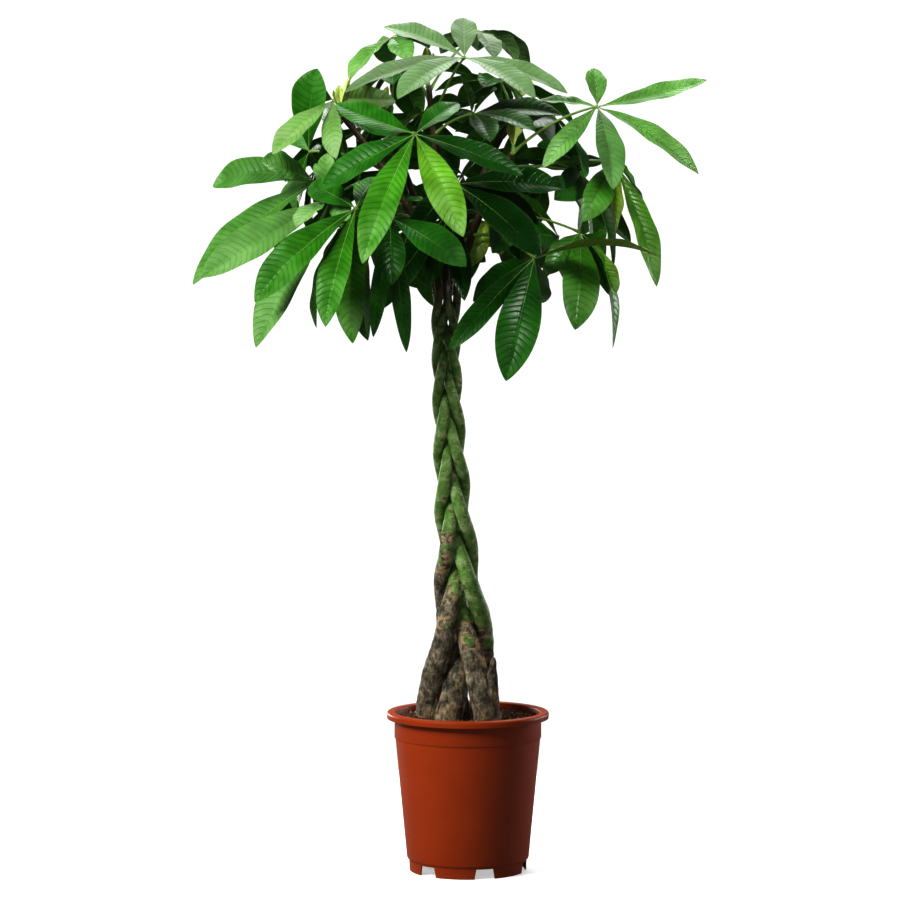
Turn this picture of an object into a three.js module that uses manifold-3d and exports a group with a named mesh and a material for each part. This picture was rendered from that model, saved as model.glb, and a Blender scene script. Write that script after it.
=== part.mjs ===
// A potted money tree: five young trees planted together in a plastic nursery pot, their stems plaited while
// they were soft, each carrying palmate leaves on long stalks. Millimetres, +Z up, origin under the middle of
// the pot.
import * as THREE from "three";
import { mergeVertices } from "three/addons/utils/BufferGeometryUtils.js";
import Module from "manifold-3d";

const wasm = await Module();
wasm.setup();

// Driving dimensions of the pot
const RIM_R = 106;
const RIM_TOP = 209;
const LIP_DEPTH = 9;
const LIP_WALL = 2;
const STEP_Z = 174;
const BAND_R = 96;
const WALL_R_AT_STEP = 94.8;
const WALL_R_AT_FOOT = 79.8;
const WALL_FOOT_Z = 18;
const FOOT_R = 77;
const FLOOR_Z = 14;
const WALL = 1.8;
const POT_SIDES = 32;
const NOTCHES = 6;
const FIRST_NOTCH_DEG = 16.5;
const NOTCH_TOP_W = 23;
const NOTCH_FOOT_W = 28;
const DRAIN_R = 5.5;
const DRAIN_RING_R = 58;
const CENTRE_FOOT_R = 13;

// Driving dimensions of the soil
const SOIL_TOP = 200;
const SOIL_BUMP = 1.6;
const SOIL_RINGS = [0, 28, 54, 80];
const GAP = 0.35;

// Slivers thinner than this, left where pieces are cut or joined, are merged away
const SLIVER = 0.12;

// Driving dimensions of the plait. One stem crosses the middle of the plait at each step of its count.
const STEM_FOOT_Z = 152;
const STEM_SIDES = 7;
const PLAIT_START_Z = 354;
const PLAIT_TOP_Z = 760;
const CROSSING_TURN = Math.PI / 5;
const STEM_GAP = 2.3;
const STATION = 5;
const STATIONS_PER_RING = 3;
const CROWN_RING = 30;
const CROWN_LEAN = 0.45;
const PLAIT_ROUNDS = 700;
const PLAIT_PULL = [0.06, 0.02];
const PUSH_SHARE = [0.6, 1.4];

// Stem radius, and the plait's half width, half depth and middle, against height
const STEM_RADIUS = [[150, 20], [200, 18.5], [232, 17.2], [265, 15.6], [308, 13.2], [354, 11.2], [420, 9.2],
  [500, 7.8], [620, 6.5], [700, 5.7], [780, 5], [900, 4.4], [1100, 3.5]];
const PLAIT_HALF_WIDTH = [[150, 43], [200, 40], [260, 30], [308, 24], [360, 18], [412, 11.5], [490, 8.5],
  [620, 7], [690, 8.5], [800, 9]];
const PLAIT_HALF_DEPTH = [[150, 36], [200, 33], [260, 29], [308, 27], [360, 25], [412, 23], [490, 21],
  [620, 19], [700, 18], [800, 16]];
const PLAIT_MIDDLE_X = [[150, -9], [354, -10], [490, -20.5], [620, -27], [760, -31], [1100, -31]];

// The five stems: where each stands in the plait's order, where it leaves the plait, and where its tip ends
const STEMS = [
  { turn: 180, top: [-41, 8], tip: [-112, 96, 978] },
  { turn: 324, top: [-25, 14], tip: [66, 92, 1000] },
  { turn: 108, top: [-28, -1], tip: [-52, 14, 1024] },
  { turn: 252, top: [-36, -13], tip: [-163, -42, 984] },
  { turn: 36, top: [-14, -6], tip: [58, -34, 938] },
];

// Driving dimensions of a leaf
const BLADE_THICK = 1.8;
const BLADE_FOLD = 0.3;
const BLADE_ARCH = 0.14;
const BLADE_WIDTH = [15, 0.235];
const ELBOW_ROOM = 1.15;
const BLADE_STATIONS = [0, 0.36, 0.76, 1];
const BLADE_START = 1.5;
const BLADE_NECK = 0.7;
const STALK_R = [2.6, 1.7];
const STALK_RISE = 0.16;
const HUB_R = 3.6;
const CLEAR = 1.6;
const SIZES = [1, 0.85, 0.7, 0.5];

// Helpers: a value read between named heights, and a repeatable random draw
function readAt(table, z) {
  const last = table.length - 1;
  if (z <= table[0][0]) return table[0][1];
  for (let i = 0; i < last; i += 1) {
    const [z0, v0] = table[i];
    const [z1, v1] = table[i + 1];
    if (z <= z1) return v0 + ((v1 - v0) * (z - z0)) / (z1 - z0);
  }
  return table[last][1];
}

let seed = 1207;
function draw(low, high) {
  seed = (seed * 16807) % 2147483647;
  return low + ((high - low) * seed) / 2147483647;
}

const vec = (x, y, z) => new THREE.Vector3(x, y, z);

// Rings of points become a closed skin; a ring of one point is a tip. Every quad is split the same way, so that
// both faces of a blade carry like triangles.
function skinOf(rings) {
  const points = rings.flat();
  const faces = [];
  const starts = [];
  rings.reduce((at, ring) => { starts.push(at); return at + ring.length; }, 0);
  const fan = (start, n, flip) => {
    for (let i = 1; i < n - 1; i += 1) {
      faces.push(flip ? [start, start + i + 1, start + i] : [start, start + i, start + i + 1]);
    }
  };
  for (let r = 0; r + 1 < rings.length; r += 1) {
    const n = rings[r].length;
    const a = starts[r];
    const b = starts[r + 1];
    for (let i = 0; i < n; i += 1) {
      const j = (i + 1) % n;
      if (rings[r + 1].length === 1) faces.push([a + i, a + j, b]);
      else faces.push([a + i, a + j, b + j], [a + i, b + j, b + i]);
    }
  }
  fan(starts[0], rings[0].length, true);
  const end = rings.length - 1;
  fan(starts[end], rings[end].length, false);
  return { points, faces };
}

function geometryOf({ points, faces }) {
  const geometry = new THREE.BufferGeometry().setFromPoints(points);
  return geometry.setIndex(faces.flat());
}

function solidOf(geometry) {
  const bare = geometry.clone();
  bare.deleteAttribute("normal");
  bare.deleteAttribute("uv");
  const merged = mergeVertices(bare, 1e-3);
  const mesh = new wasm.Mesh({
    numProp: 3,
    vertProperties: new Float32Array(merged.attributes.position.array),
    triVerts: new Uint32Array(merged.index.array),
  });
  return new wasm.Manifold(mesh);
}

function geometryFrom(solid) {
  const mesh = solid.getMesh();
  return new THREE.BufferGeometry()
    .setAttribute("position", new THREE.BufferAttribute(mesh.vertProperties, 3))
    .setIndex(new THREE.BufferAttribute(mesh.triVerts, 1));
}

const trimmed = (solid) => solid.simplify(SLIVER);
const largestOf = (solid) => solid.decompose().sort((a, b) => b.volume() - a.volume())[0];

function turned(profile, sides) {
  const points = profile.map(([r, z]) => new THREE.Vector2(r, z));
  return new THREE.LatheGeometry(points, sides).rotateX(Math.PI / 2);
}

// The pot: thin moulded wall with a stacking step, a turned-down lip, and a foot ring cut by six notches
function potSolid() {
  const profile = [
    [0, FLOOR_Z + 2], [WALL_R_AT_FOOT - WALL - 2, FLOOR_Z + 2], [WALL_R_AT_FOOT - WALL, FLOOR_Z + 5],
    [WALL_R_AT_STEP - WALL, STEP_Z], [BAND_R - WALL, STEP_Z + 2], [BAND_R - WALL, RIM_TOP - 1],
    [BAND_R, RIM_TOP], [RIM_R - 1.8, RIM_TOP], [RIM_R, RIM_TOP - 2.6], [RIM_R - 0.6, RIM_TOP - LIP_DEPTH],
    [RIM_R - 0.6 - LIP_WALL, RIM_TOP - LIP_DEPTH], [RIM_R - 0.6 - LIP_WALL, RIM_TOP - LIP_WALL - 0.6],
    [BAND_R, RIM_TOP - LIP_WALL - 0.6], [BAND_R, STEP_Z + 1], [WALL_R_AT_STEP, STEP_Z],
    [WALL_R_AT_FOOT, WALL_FOOT_Z], [FOOT_R, FLOOR_Z], [FOOT_R - 0.6, 0], [FOOT_R - 0.6 - WALL, 0],
    [FOOT_R - 0.4 - WALL, FLOOR_Z], [CENTRE_FOOT_R + 1, FLOOR_Z], [CENTRE_FOOT_R, 0], [0, 0],
  ].reverse();
  let pot = solidOf(turned(profile, POT_SIDES));
  const notch = new THREE.Shape([
    new THREE.Vector2(-NOTCH_FOOT_W / 2, -1), new THREE.Vector2(NOTCH_FOOT_W / 2, -1),
    new THREE.Vector2(NOTCH_TOP_W / 2, FLOOR_Z - 0.8), new THREE.Vector2(-NOTCH_TOP_W / 2, FLOOR_Z - 0.8),
  ]);
  const cutter = new THREE.ExtrudeGeometry(notch, { depth: 12, bevelEnabled: false });
  cutter.rotateX(Math.PI / 2).translate(0, -(FOOT_R - 7), 0);
  const drain = new THREE.CylinderGeometry(DRAIN_R, DRAIN_R, 8, 12).rotateX(Math.PI / 2);
  drain.translate(0, -DRAIN_RING_R, FLOOR_Z + 1);
  for (let i = 0; i < NOTCHES; i += 1) {
    const angle = THREE.MathUtils.degToRad(FIRST_NOTCH_DEG + (360 / NOTCHES) * i);
    pot = pot.subtract(solidOf(cutter.clone().rotateZ(angle)));
    pot = pot.subtract(solidOf(drain.clone().rotateZ(angle)));
  }
  return trimmed(pot);
}

// The stems. Seen from above, each walks round a figure of eight as it climbs, so that it crosses the front of
// the plait from its edge to its middle, then goes behind. Overlaps are then pushed apart until the stems only
// touch.
function crossingsAt(z) {
  const climb = z - PLAIT_START_Z;
  if (climb < 0) return (0.0181 * climb) / (1 - climb / 250);
  return 0.0181 * climb + 0.000027 * climb * climb;
}

function plaitAim(stem, z) {
  const turn = THREE.MathUtils.degToRad(stem.turn) + CROSSING_TURN * crossingsAt(z);
  const x = readAt(PLAIT_MIDDLE_X, z) + readAt(PLAIT_HALF_WIDTH, z) * Math.sin(turn);
  const y = readAt(PLAIT_HALF_DEPTH, z) * Math.sin(2 * turn);
  const loose = THREE.MathUtils.smoothstep(z, PLAIT_TOP_Z - 80, PLAIT_TOP_Z);
  return [x + (stem.top[0] - x) * loose, y + (stem.top[1] - y) * loose];
}

// Two stems closer than they can lie are pushed apart, each by half of what is missing
function pushApart(one, other, stations) {
  const reach = 4;
  one.forEach((a, j) => {
    const last = Math.min(other.length - 1, j + reach);
    for (let m = Math.max(0, j - reach); m <= last; m += 1) {
      const b = other[m];
      const dx = a[0] - b[0];
      const dy = a[1] - b[1];
      const flat = Math.hypot(dx, dy) || 1e-6;
      const apart = Math.hypot(flat, (m - j) * STATION);
      const need = readAt(STEM_RADIUS, stations[j]) + readAt(STEM_RADIUS, stations[m]) + STEM_GAP;
      if (apart < need) {
        const push = (0.5 * (need - apart)) / flat;
        a[0] += dx * push * PUSH_SHARE[0];
        a[1] += dy * push * PUSH_SHARE[1];
        b[0] -= dx * push * PUSH_SHARE[0];
        b[1] -= dy * push * PUSH_SHARE[1];
      }
    }
  });
}

// A stem bends gently and keeps near its place in the plait, more so in the first rounds than in the last
function relax(path, aim, ease) {
  for (let j = 0; j < path.length - 1; j += 1) {
    const before = path[Math.max(j - 1, 0)];
    const after = path[j + 1];
    for (let axis = 0; axis < 2; axis += 1) {
      path[j][axis] += (0.05 + 0.2 * ease) * ((before[axis] + after[axis]) / 2 - path[j][axis]);
      path[j][axis] += PLAIT_PULL[axis] * ease * (aim[j][axis] - path[j][axis]);
    }
  }
}

function plaitedStems() {
  const stations = [];
  for (let z = PLAIT_TOP_Z; z >= STEM_FOOT_Z; z -= STATION) stations.unshift(z);
  const aims = STEMS.map((stem) => stations.map((z) => plaitAim(stem, z)));
  const paths = aims.map((aim) => aim.map(([x, y]) => [x, y]));
  for (let round = 0; round < PLAIT_ROUNDS; round += 1) {
    const ease = Math.max(0, 1 - (1.15 * round) / PLAIT_ROUNDS);
    paths.forEach((path, k) => relax(path, aims[k], ease));
    paths.forEach((path, k) => paths.slice(k + 1).forEach((other) => pushApart(path, other, stations)));
  }
  return paths.map((path) => path.map(([x, y], j) => vec(x, y, stations[j])));
}

// Above the plait a stem leans out to its tip in one curve
function crownPoint(k, z) {
  const { top, tip } = STEMS[k];
  const u = (z - PLAIT_TOP_Z) / (tip[2] - PLAIT_TOP_Z);
  const share = u * (CROWN_LEAN + (1 - CROWN_LEAN) * u);
  return vec(top[0] + (tip[0] - top[0]) * share, top[1] + (tip[1] - top[1]) * share, z);
}

// A round tube of changing radius along a list of points
function tubeRings(points, radii, sides, grow = 0) {
  return points.map((p, i) => {
    const ahead = points[Math.min(i + 1, points.length - 1)];
    const behind = points[Math.max(i - 1, 0)];
    const along = ahead.clone().sub(behind).normalize();
    const across = vec(0, 1, 0).cross(along).normalize();
    if (across.lengthSq() < 0.5) across.set(1, 0, 0);
    const other = along.clone().cross(across);
    return Array.from({ length: sides }, (_, s) => {
      const a = (2 * Math.PI * s) / sides;
      return p.clone().addScaledVector(across, (radii[i] + grow) * Math.cos(a))
        .addScaledVector(other, (radii[i] + grow) * Math.sin(a));
    });
  });
}

const plaits = plaitedStems();

function stemSkin(k, grow = 0) {
  const last = plaits[k].length - 1;
  const points = plaits[k].filter((_, j) => (last - j) % STATIONS_PER_RING === 0).map((p) => p.clone());
  const { tip } = STEMS[k];
  for (let z = PLAIT_TOP_Z + CROWN_RING; z < tip[2] - 5; z += CROWN_RING) points.push(crownPoint(k, z));
  points.push(vec(...tip));
  const radii = points.map((p) => readAt(STEM_RADIUS, p.z));
  points[0].z -= grow;
  points[points.length - 1].z += grow;
  return skinOf(tubeRings(points, radii, STEM_SIDES, grow));
}

// A broken side shoot near the foot of the first stem
function stubSolid() {
  const foot = plaits[0].find((p) => p.z >= 262);
  const points = [foot, foot.clone().add(vec(13, -6, 9)), foot.clone().add(vec(18, -8, 19))];
  return solidOf(geometryOf(skinOf(tubeRings(points, [7, 4.5, 1.2], 6))));
}

// One leaflet: a folded blade on an arched rib, narrow where it leaves the hub, widest past its middle
const bladeShape = (t) => Math.sin(Math.PI * Math.min(1, t ** 1.25)) ** 0.9;

function bladeSkin(blade, grow = 0) {
  const { chord, axis, width, arch } = blade;
  const length = chord.length();
  const hub = blade.hub.clone().addScaledVector(chord, BLADE_START / length);
  const fold = blade.fold ?? BLADE_FOLD;
  const bend = hub.clone().addScaledVector(chord, 0.5).addScaledVector(axis, arch * length);
  const tip = blade.hub.clone().add(chord);
  const rings = BLADE_STATIONS.map((t) => {
    const p = hub.clone().multiplyScalar((1 - t) ** 2).addScaledVector(bend, 2 * t * (1 - t))
      .addScaledVector(tip, t * t);
    const along = bend.clone().sub(hub).multiplyScalar(1 - t)
      .addScaledVector(tip.clone().sub(bend), t).normalize();
    const side = along.clone().cross(axis).normalize();
    const up = side.clone().cross(along);
    if (t === 1) return [p.addScaledVector(along, grow)];
    const half = Math.max(BLADE_NECK, (width / 2) * bladeShape(t)) + grow;
    const thick = BLADE_THICK / 2 + grow;
    return [
      p.clone().addScaledVector(side, half * Math.cos(fold)).addScaledVector(up, half * Math.sin(fold)),
      p.clone().addScaledVector(up, -thick),
      p.clone().addScaledVector(side, -half * Math.cos(fold)).addScaledVector(up, half * Math.sin(fold)),
      p.clone().addScaledVector(up, thick),
    ];
  });
  return skinOf(rings);
}

function stalkPoints(foot, hub) {
  const run = hub.clone().sub(foot);
  const bend = foot.clone().addScaledVector(run, 0.45).add(vec(0, 0, STALK_RISE * run.length()));
  const curve = new THREE.QuadraticBezierCurve3(foot, bend, hub);
  return [0, 0.33, 0.67, 1].map((t) => curve.getPoint(t));
}

function stalkSkin(foot, hub, grow = 0) {
  const points = stalkPoints(foot, hub);
  const radii = points.map((_, i) => STALK_R[0] + ((STALK_R[1] - STALK_R[0]) * i) / (points.length - 1));
  return skinOf(tubeRings(points, radii, 3, grow));
}

// Two skins cross where an edge of one goes through a face of the other
function boxOf(skin) {
  return new THREE.Box3().setFromPoints(skin.points);
}

function edgesThrough(a, b) {
  const ab = vec(0, 0, 0);
  const e1 = vec(0, 0, 0);
  const e2 = vec(0, 0, 0);
  const h = vec(0, 0, 0);
  const s = vec(0, 0, 0);
  const q = vec(0, 0, 0);
  for (const face of a.faces) {
    for (let i = 0; i < 3; i += 1) {
      if (face[i] < face[(i + 1) % 3]) {
        const from = a.points[face[i]];
        ab.subVectors(a.points[face[(i + 1) % 3]], from);
        for (const [u, v, w] of b.faces) {
          e1.subVectors(b.points[v], b.points[u]);
          e2.subVectors(b.points[w], b.points[u]);
          h.crossVectors(ab, e2);
          const det = e1.dot(h);
          if (Math.abs(det) > 1e-9) {
            s.subVectors(from, b.points[u]);
            const m = s.dot(h) / det;
            q.crossVectors(s, e1);
            const n = ab.dot(q) / det;
            const t = e2.dot(q) / det;
            if (m >= 0 && n >= 0 && m + n <= 1 && t >= 0 && t <= 1) return true;
          }
        }
      }
    }
  }
  return false;
}

const crosses = (a, b) => a.box.intersectsBox(b.box) && (edgesThrough(a, b) || edgesThrough(b, a));
const boxed = (skin, leaf) => ({ ...skin, box: boxOf(skin), leaf });

// The leaves that show from the front: the stem and height where the stalk starts, the hub where the leaflets
// meet, the way the leaf faces, and where each leaflet's tip lies from the hub. Where a leaflet differs from
// the rest, its own arch, its roll about its length in degrees, and its share of the usual width follow.
const FRONT_LEAVES = [
  { stem: 3, from: 935, hub: [-67, -190, 954], face: [-0.1, -0.75, 0.65],
    tips: [[-118, 26, -67, 0.06], [-64, -50, -160, 0.14, 0, 0.84], [60, -51, -127, 0.14, 0, 0.9],
      [135, 5, -51, 0.08, 0, 0.78], [-101, 80, 41, -0.04, 0, 0.84], [54, 82, 42, 0.05, 0, 0.85]] },
  { stem: 2, from: 975, hub: [-5, -60, 1057], face: [0, -0.5, 0.86],
    tips: [[-1, 72, 54, 0.02], [-104, 80, 43, 0.08, 0, 0.85], [-154, -10, -47, 0.12, 0, 0.8], [-84, -90, -58],
      [88, -95, -58, 0.12, 0, 0.85], [132, 0, -47, 0.12, 0, 0.8]] },
  { stem: 2, from: 1012, hub: [14, 60, 1098], face: [0.1, 0.25, 0.95],
    tips: [[20, -70, -40], [52, 40, -38, 0.3], [66, 80, -54, 0.3], [-50, 60, -27], [0, 120, -20]] },
  { stem: 4, from: 922, hub: [165, -60, 993], face: [0.3, -0.6, 0.75],
    tips: [[-3, 45, 52, 0.02, 0, 0.95], [142, 30, 36, -0.05, 0, 0.66], [128, -20, -86, 0.12, 0, 0.78],
      [15, -95, -107, 0.14, 0, 0.84], [-72, -60, -79, 0.1, 0, 0.66], [-78, 30, 9, 0.08, 0, 0.7]] },
  { stem: 4, from: 894, hub: [192, 30, 925], face: [0.45, -0.6, 0.66],
    tips: [[-45, -60, -78], [54, -10, -162, 0.1, 0, 0.8], [-6, 50, -104, 0.1, 0, 0.85], [38, 90, -60],
      [-60, 110, -10]] },
  { stem: 4, from: 855, hub: [144, -20, 835], face: [0.3, -0.75, 0.6],
    tips: [[-44, -40, -56], [-8, -60, -126, 0.14, 0, 1.12], [44, 20, -152, 0.25, -48, 1],
      [46, 25, -84, 0.12, 0, 1], [-40, 90, -60]] },
  { stem: 4, from: 830, hub: [84, -90, 801], face: [0.1, -0.8, 0.6],
    tips: [[-37, -50, -155, 0.14, 0, 1.05], [-109, -20, -118, 0.1, 0, 0.62], [-78, 50, -56],
      [154, -40, 2, 0.2, -60, 0.9], [20, 110, -50]] },
  { stem: 3, from: 885, hub: [-141, -170, 863], face: [-0.35, -0.8, 0.5],
    tips: [[-125, -20, -117], [-36, -50, -147, 0.1, 0, 0.88], [-4, 5, -169, 0.1, 0, 0.88], [30, 80, 40],
      [-60, 70, 30]] },
  { stem: 3, from: 900, hub: [-172, -110, 876], face: [-0.45, -0.75, 0.5],
    tips: [[-164, -40, -100, 0.02], [-94, -60, -187, 0.04, 0, 0.92], [-22, -10, 52], [26, -70, -8],
      [-34, -75, -14]] },
  { stem: 3, from: 920, hub: [-196, -40, 897], face: [-0.35, -0.7, 0.62],
    tips: [[-135, 40, -4, 0.33], [-68, -34, 26, 0.1, 0, 1.5], [-160, 20, -131, 0.14, 0, 0.88], [30, 90, 30],
      [-60, 100, -30]] },
  { stem: 3, from: 965, hub: [-174, -20, 1005], face: [-0.45, -0.85, 0.25],
    tips: [[-75, -60, -73, 0.1, 0, 0.85], [-40, 100, 10], [6, -60, -78, 0.1, 0, 0.85], [80, 60, 0],
      [10, 110, -50]] },
  { stem: 2, from: 995, hub: [-101, 20, 1087], face: [-0.3, -0.45, 0.84],
    tips: [[-52, -40, -58], [25, -70, -26], [-40, 95, -36], [50, 80, -10], [0, 120, -30]] },
  { stem: 2, from: 870, hub: [-17, -80, 894], face: [0.15, -0.8, 0.58],
    tips: [[137, -10, -5], [108, -60, -92], [108, 40, -50], [-60, 40, -70], [40, -70, 40]] },
  { stem: 3, from: 845, hub: [-101, -110, 855], face: [0.1, -0.85, 0.5],
    tips: [[98, -70, -65, 0.1], [5, -40, -88], [-20, 10, -155, 0.1, 0, 0.45], [22, 40, -175, 0.1, 0, 0.45]] },
  { stem: 2, from: 840, hub: [-25, -20, 860], face: [0.1, -0.7, 0.7],
    tips: [[20, -60, -114, 0.1, 0, 0.7], [-26, -30, -98, 0.1, 0, 0.7], [-85, 10, -140, 0.1, 0, 0.85],
      [40, 100, -50]] },
  { stem: 2, from: 960, hub: [6, -20, 987], face: [0.1, -0.6, 0.8],
    tips: [[-16, -50, 43], [30, -40, 28], [22, -85, -40], [79, -50, -36], [113, 10, -14], [-50, 80, -20]] },
  { stem: 3, from: 905, hub: [-208, 20, 938], face: [-0.4, -0.8, 0.45],
    tips: [[32, -40, 98, 0.14, 0, 1.35], [-10, 100, 30], [60, 70, 50], [-20, 70, -80], [40, 60, -70]] },
  { stem: 1, from: 880, hub: [25, 45, 853], face: [0.1, -0.8, 0.6],
    tips: [[-28, -5, -61], [19, 0, -49], [60, 40, -30], [-10, 80, 20], [30, 60, 40]] },
];

// Gaps between the leaves where daylight shows from the front: across, height and radius
const DAYLIGHT = [[125, 857, 18], [25, 774, 13], [109, 762, 12], [-61, 730, 14], [30, 1004, 8]];
const DAYLIGHT_DEPTH = [-60, 280];

// The leaves at the back and sides follow a rule: tiers of hubs round the crown, each facing out and up
const CROWN_MIDDLE = [-25, 10];
const TIERS = [
  { z: 880, reach: 66, leaves: 2, from: -80, to: 80, lift: 0.9, stalkRise: -30 },
  { z: 838, reach: 150, leaves: 6, from: 96, to: 268, lift: 0.55, stalkRise: -20 },
  { z: 915, reach: 185, leaves: 5, from: 112, to: 240, lift: 0.75, stalkRise: -10 },
  { z: 985, reach: 140, leaves: 5, from: 100, to: 275, lift: 1.1, stalkRise: -15 },
  { z: 1040, reach: 82, leaves: 2, from: 135, to: 235, lift: 2.0, stalkRise: 30 },
];
const TIER_LENGTH = [118, 152];
const LEAFLETS = [5, 6];
const STALK_STEP = 8;
const BELOW_TIP = 12;
const SLANT_DEG = 7;
const REACH_SPREAD = 12;
const HEIGHT_SPREAD = 14;
const LIFT_SPREAD = 0.15;
const TWIST_DEG = 14;
const CUP = 0.32;
const DROOP = 0.28;

function tierLeaves() {
  const leaves = [];
  TIERS.forEach((tier) => {
    for (let i = 0; i < tier.leaves; i += 1) {
      const spread = (tier.to - tier.from) / (tier.leaves - 1);
      const angle = THREE.MathUtils.degToRad(tier.from + spread * i + draw(-SLANT_DEG, SLANT_DEG));
      const reach = tier.reach + draw(-REACH_SPREAD, REACH_SPREAD);
      const hub = vec(CROWN_MIDDLE[0] + reach * Math.sin(angle), CROWN_MIDDLE[1] - reach * Math.cos(angle),
        tier.z + draw(-HEIGHT_SPREAD, HEIGHT_SPREAD));
      const lift = tier.lift + draw(-LIFT_SPREAD, LIFT_SPREAD);
      const face = vec(Math.sin(angle), -Math.cos(angle), lift).normalize();
      const count = draw(0, 1) < 0.5 ? LEAFLETS[0] : LEAFLETS[1];
      const length = draw(TIER_LENGTH[0], TIER_LENGTH[1]);
      const twist = THREE.MathUtils.degToRad(draw(-TWIST_DEG, TWIST_DEG));
      const outward = vec(0, 0, -1).addScaledVector(face, face.z).normalize();
      const sideways = face.clone().cross(outward);
      const tips = [];
      for (let n = 0; n < count; n += 1) {
        const turn = twist + ((n - (count - 1) / 2) * 2 * Math.PI) / (count + 0.4);
        const size = length * (0.68 + 0.32 * Math.cos(turn / 2) ** 2);
        const way = outward.clone().multiplyScalar(Math.cos(turn)).addScaledVector(sideways, Math.sin(turn));
        way.addScaledVector(face, -CUP).add(vec(0, 0, -DROOP)).normalize();
        tips.push(way.multiplyScalar(size).toArray());
      }
      const nearest = STEMS.map((stem, k) => [Math.hypot(hub.x - stem.tip[0], hub.y - stem.tip[1]), k])
        .sort((a, b) => a[0] - b[0])[0][1];
      const highest = STEMS[nearest].tip[2] - BELOW_TIP - STALK_STEP * i;
      const from = Math.min(tier.z + tier.stalkRise + STALK_STEP * i, highest);
      leaves.push({ stem: nearest, from, hub: hub.toArray(), face: face.toArray(), tips });
    }
  });
  return leaves;
}

const LEAVES = [...FRONT_LEAVES, ...tierLeaves()];

// Turns tried for a leaflet that would cross another leaf, in degrees: its droop, then its swing about the
// leaf's axis
const TURNS = [[0, 0], [7, 0], [-7, 0], [0, 8], [0, -8], [13, 0], [-13, 0], [8, 9], [8, -9], [-8, 9], [-8, -9],
  [20, 0], [-20, 0], [0, 16], [0, -16], [16, 14], [16, -14], [-16, 14], [-16, -14], [30, 0], [-30, 0]];

function turnedChord(chord, axis, droop, swing) {
  const side = chord.clone().cross(axis).normalize();
  return chord.clone().applyAxisAngle(side, THREE.MathUtils.degToRad(-droop))
    .applyAxisAngle(axis, THREE.MathUtils.degToRad(swing));
}

// New growth at a stem's tip: folded blades that stand on a short foot, given as heights over the tip and radii
const BUD_BLADES = 2;
const BUD_LENGTH = 44;
const BUD_WIDTH = 13;
const BUD_FOOT = [[GAP, 3.4], [5, 3], [10, 2]];

function budFoot(stem, grow = 0) {
  const points = BUD_FOOT.map(([rise]) => vec(...stem.tip).add(vec(0, 0, rise)));
  return skinOf(tubeRings(points, BUD_FOOT.map(([, radius]) => radius), 6, grow));
}

function budBlades(stem) {
  const tip = vec(...stem.tip);
  return Array.from({ length: BUD_BLADES }, (_, i) => {
    const a = (2 * Math.PI * i) / BUD_BLADES + tip.x;
    const out = vec(Math.cos(a), Math.sin(a), 0);
    const chord = vec(out.x * 0.3, out.y * 0.3, 1).multiplyScalar(BUD_LENGTH * (1 - 0.16 * i));
    const hub = tip.clone().add(vec(0, 0, 6));
    return { hub, chord, axis: out.negate(), width: BUD_WIDTH, arch: -0.08, fold: 0.75 };
  });
}

function untangled() {
  const taken = [];
  STEMS.forEach((stem, k) => {
    const upper = [];
    for (let z = PLAIT_TOP_Z; z < stem.tip[2]; z += CROWN_RING) upper.push(crownPoint(k, z));
    upper.push(vec(...stem.tip));
    taken.push(boxed(skinOf(tubeRings(upper, upper.map((p) => readAt(STEM_RADIUS, p.z)), 6, CLEAR)), "stem"));
    taken.push(boxed(budFoot(stem, CLEAR / 2), "bud"));
    budBlades(stem).forEach((blade) => taken.push(boxed(bladeSkin(blade, CLEAR / 2), "bud")));
  });
  DAYLIGHT.forEach(([x, z, r]) => {
    const rod = DAYLIGHT_DEPTH.map((y) => vec(x, y, z));
    taken.push(boxed(skinOf(tubeRings(rod, [r, r], 6)), "daylight"));
  });
  LEAVES.forEach((leaf, n) => {
    leaf.foot = crownPoint(leaf.stem, leaf.from);
    leaf.middle = vec(...leaf.hub);
    taken.push(boxed(stalkSkin(leaf.foot, leaf.middle, CLEAR / 3), n));
  });
  const atBack = (n) => n >= FRONT_LEAVES.length;
  const blocking = (n) => taken.filter(({ leaf }) => leaf !== n && (leaf !== "daylight" || atBack(n)));
  LEAVES.forEach((leaf, n) => {
    const axis = vec(...leaf.face).normalize();
    leaf.blades = [];
    leaf.tips.forEach(([x, y, z, arch = BLADE_ARCH, roll = 0, share = 1]) => {
      const full = vec(x, y, z);
      const up = axis.clone().applyAxisAngle(full.clone().normalize(), THREE.MathUtils.degToRad(roll));
      let placed = null;
      for (let s = 0; s < SIZES.length && !placed; s += 1) {
        for (let t = 0; t < TURNS.length && !placed; t += 1) {
          const chord = turnedChord(full, axis, ...TURNS[t]).multiplyScalar(SIZES[s]);
          const width = (BLADE_WIDTH[0] + BLADE_WIDTH[1] * chord.length()) * share;
          const blade = { hub: leaf.middle, chord, axis: up, width, arch };
          const skin = boxed(bladeSkin({ ...blade, width: width * ELBOW_ROOM }, CLEAR / 2), n);
          if (!blocking(n).some((other) => crosses(skin, other))) {
            placed = { blade, skin };
          }
        }
      }
      if (placed) {
        leaf.blades.push(placed.blade);
        taken.push(placed.skin);
      }
    });
  });
}

untangled();

// The model: each sub-part in its own mesh with its own colour
const material = (color, roughness) => new THREE.MeshStandardMaterial({ color, roughness, metalness: 0 });
const plastic = material(0x9c4322, 0.45);
const compost = material(0x2e1c12, 0.95);
const bark = material(0x5f6146, 0.8);
const greenLeaf = material(0x2f7d1f, 0.4);
const youngLeaf = material(0xb4cc4a, 0.5);

const tree = new THREE.Group();

function add(name, solid, finish) {
  const mesh = new THREE.Mesh(geometryFrom(solid), finish);
  mesh.name = name;
  tree.add(mesh);
}

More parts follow.
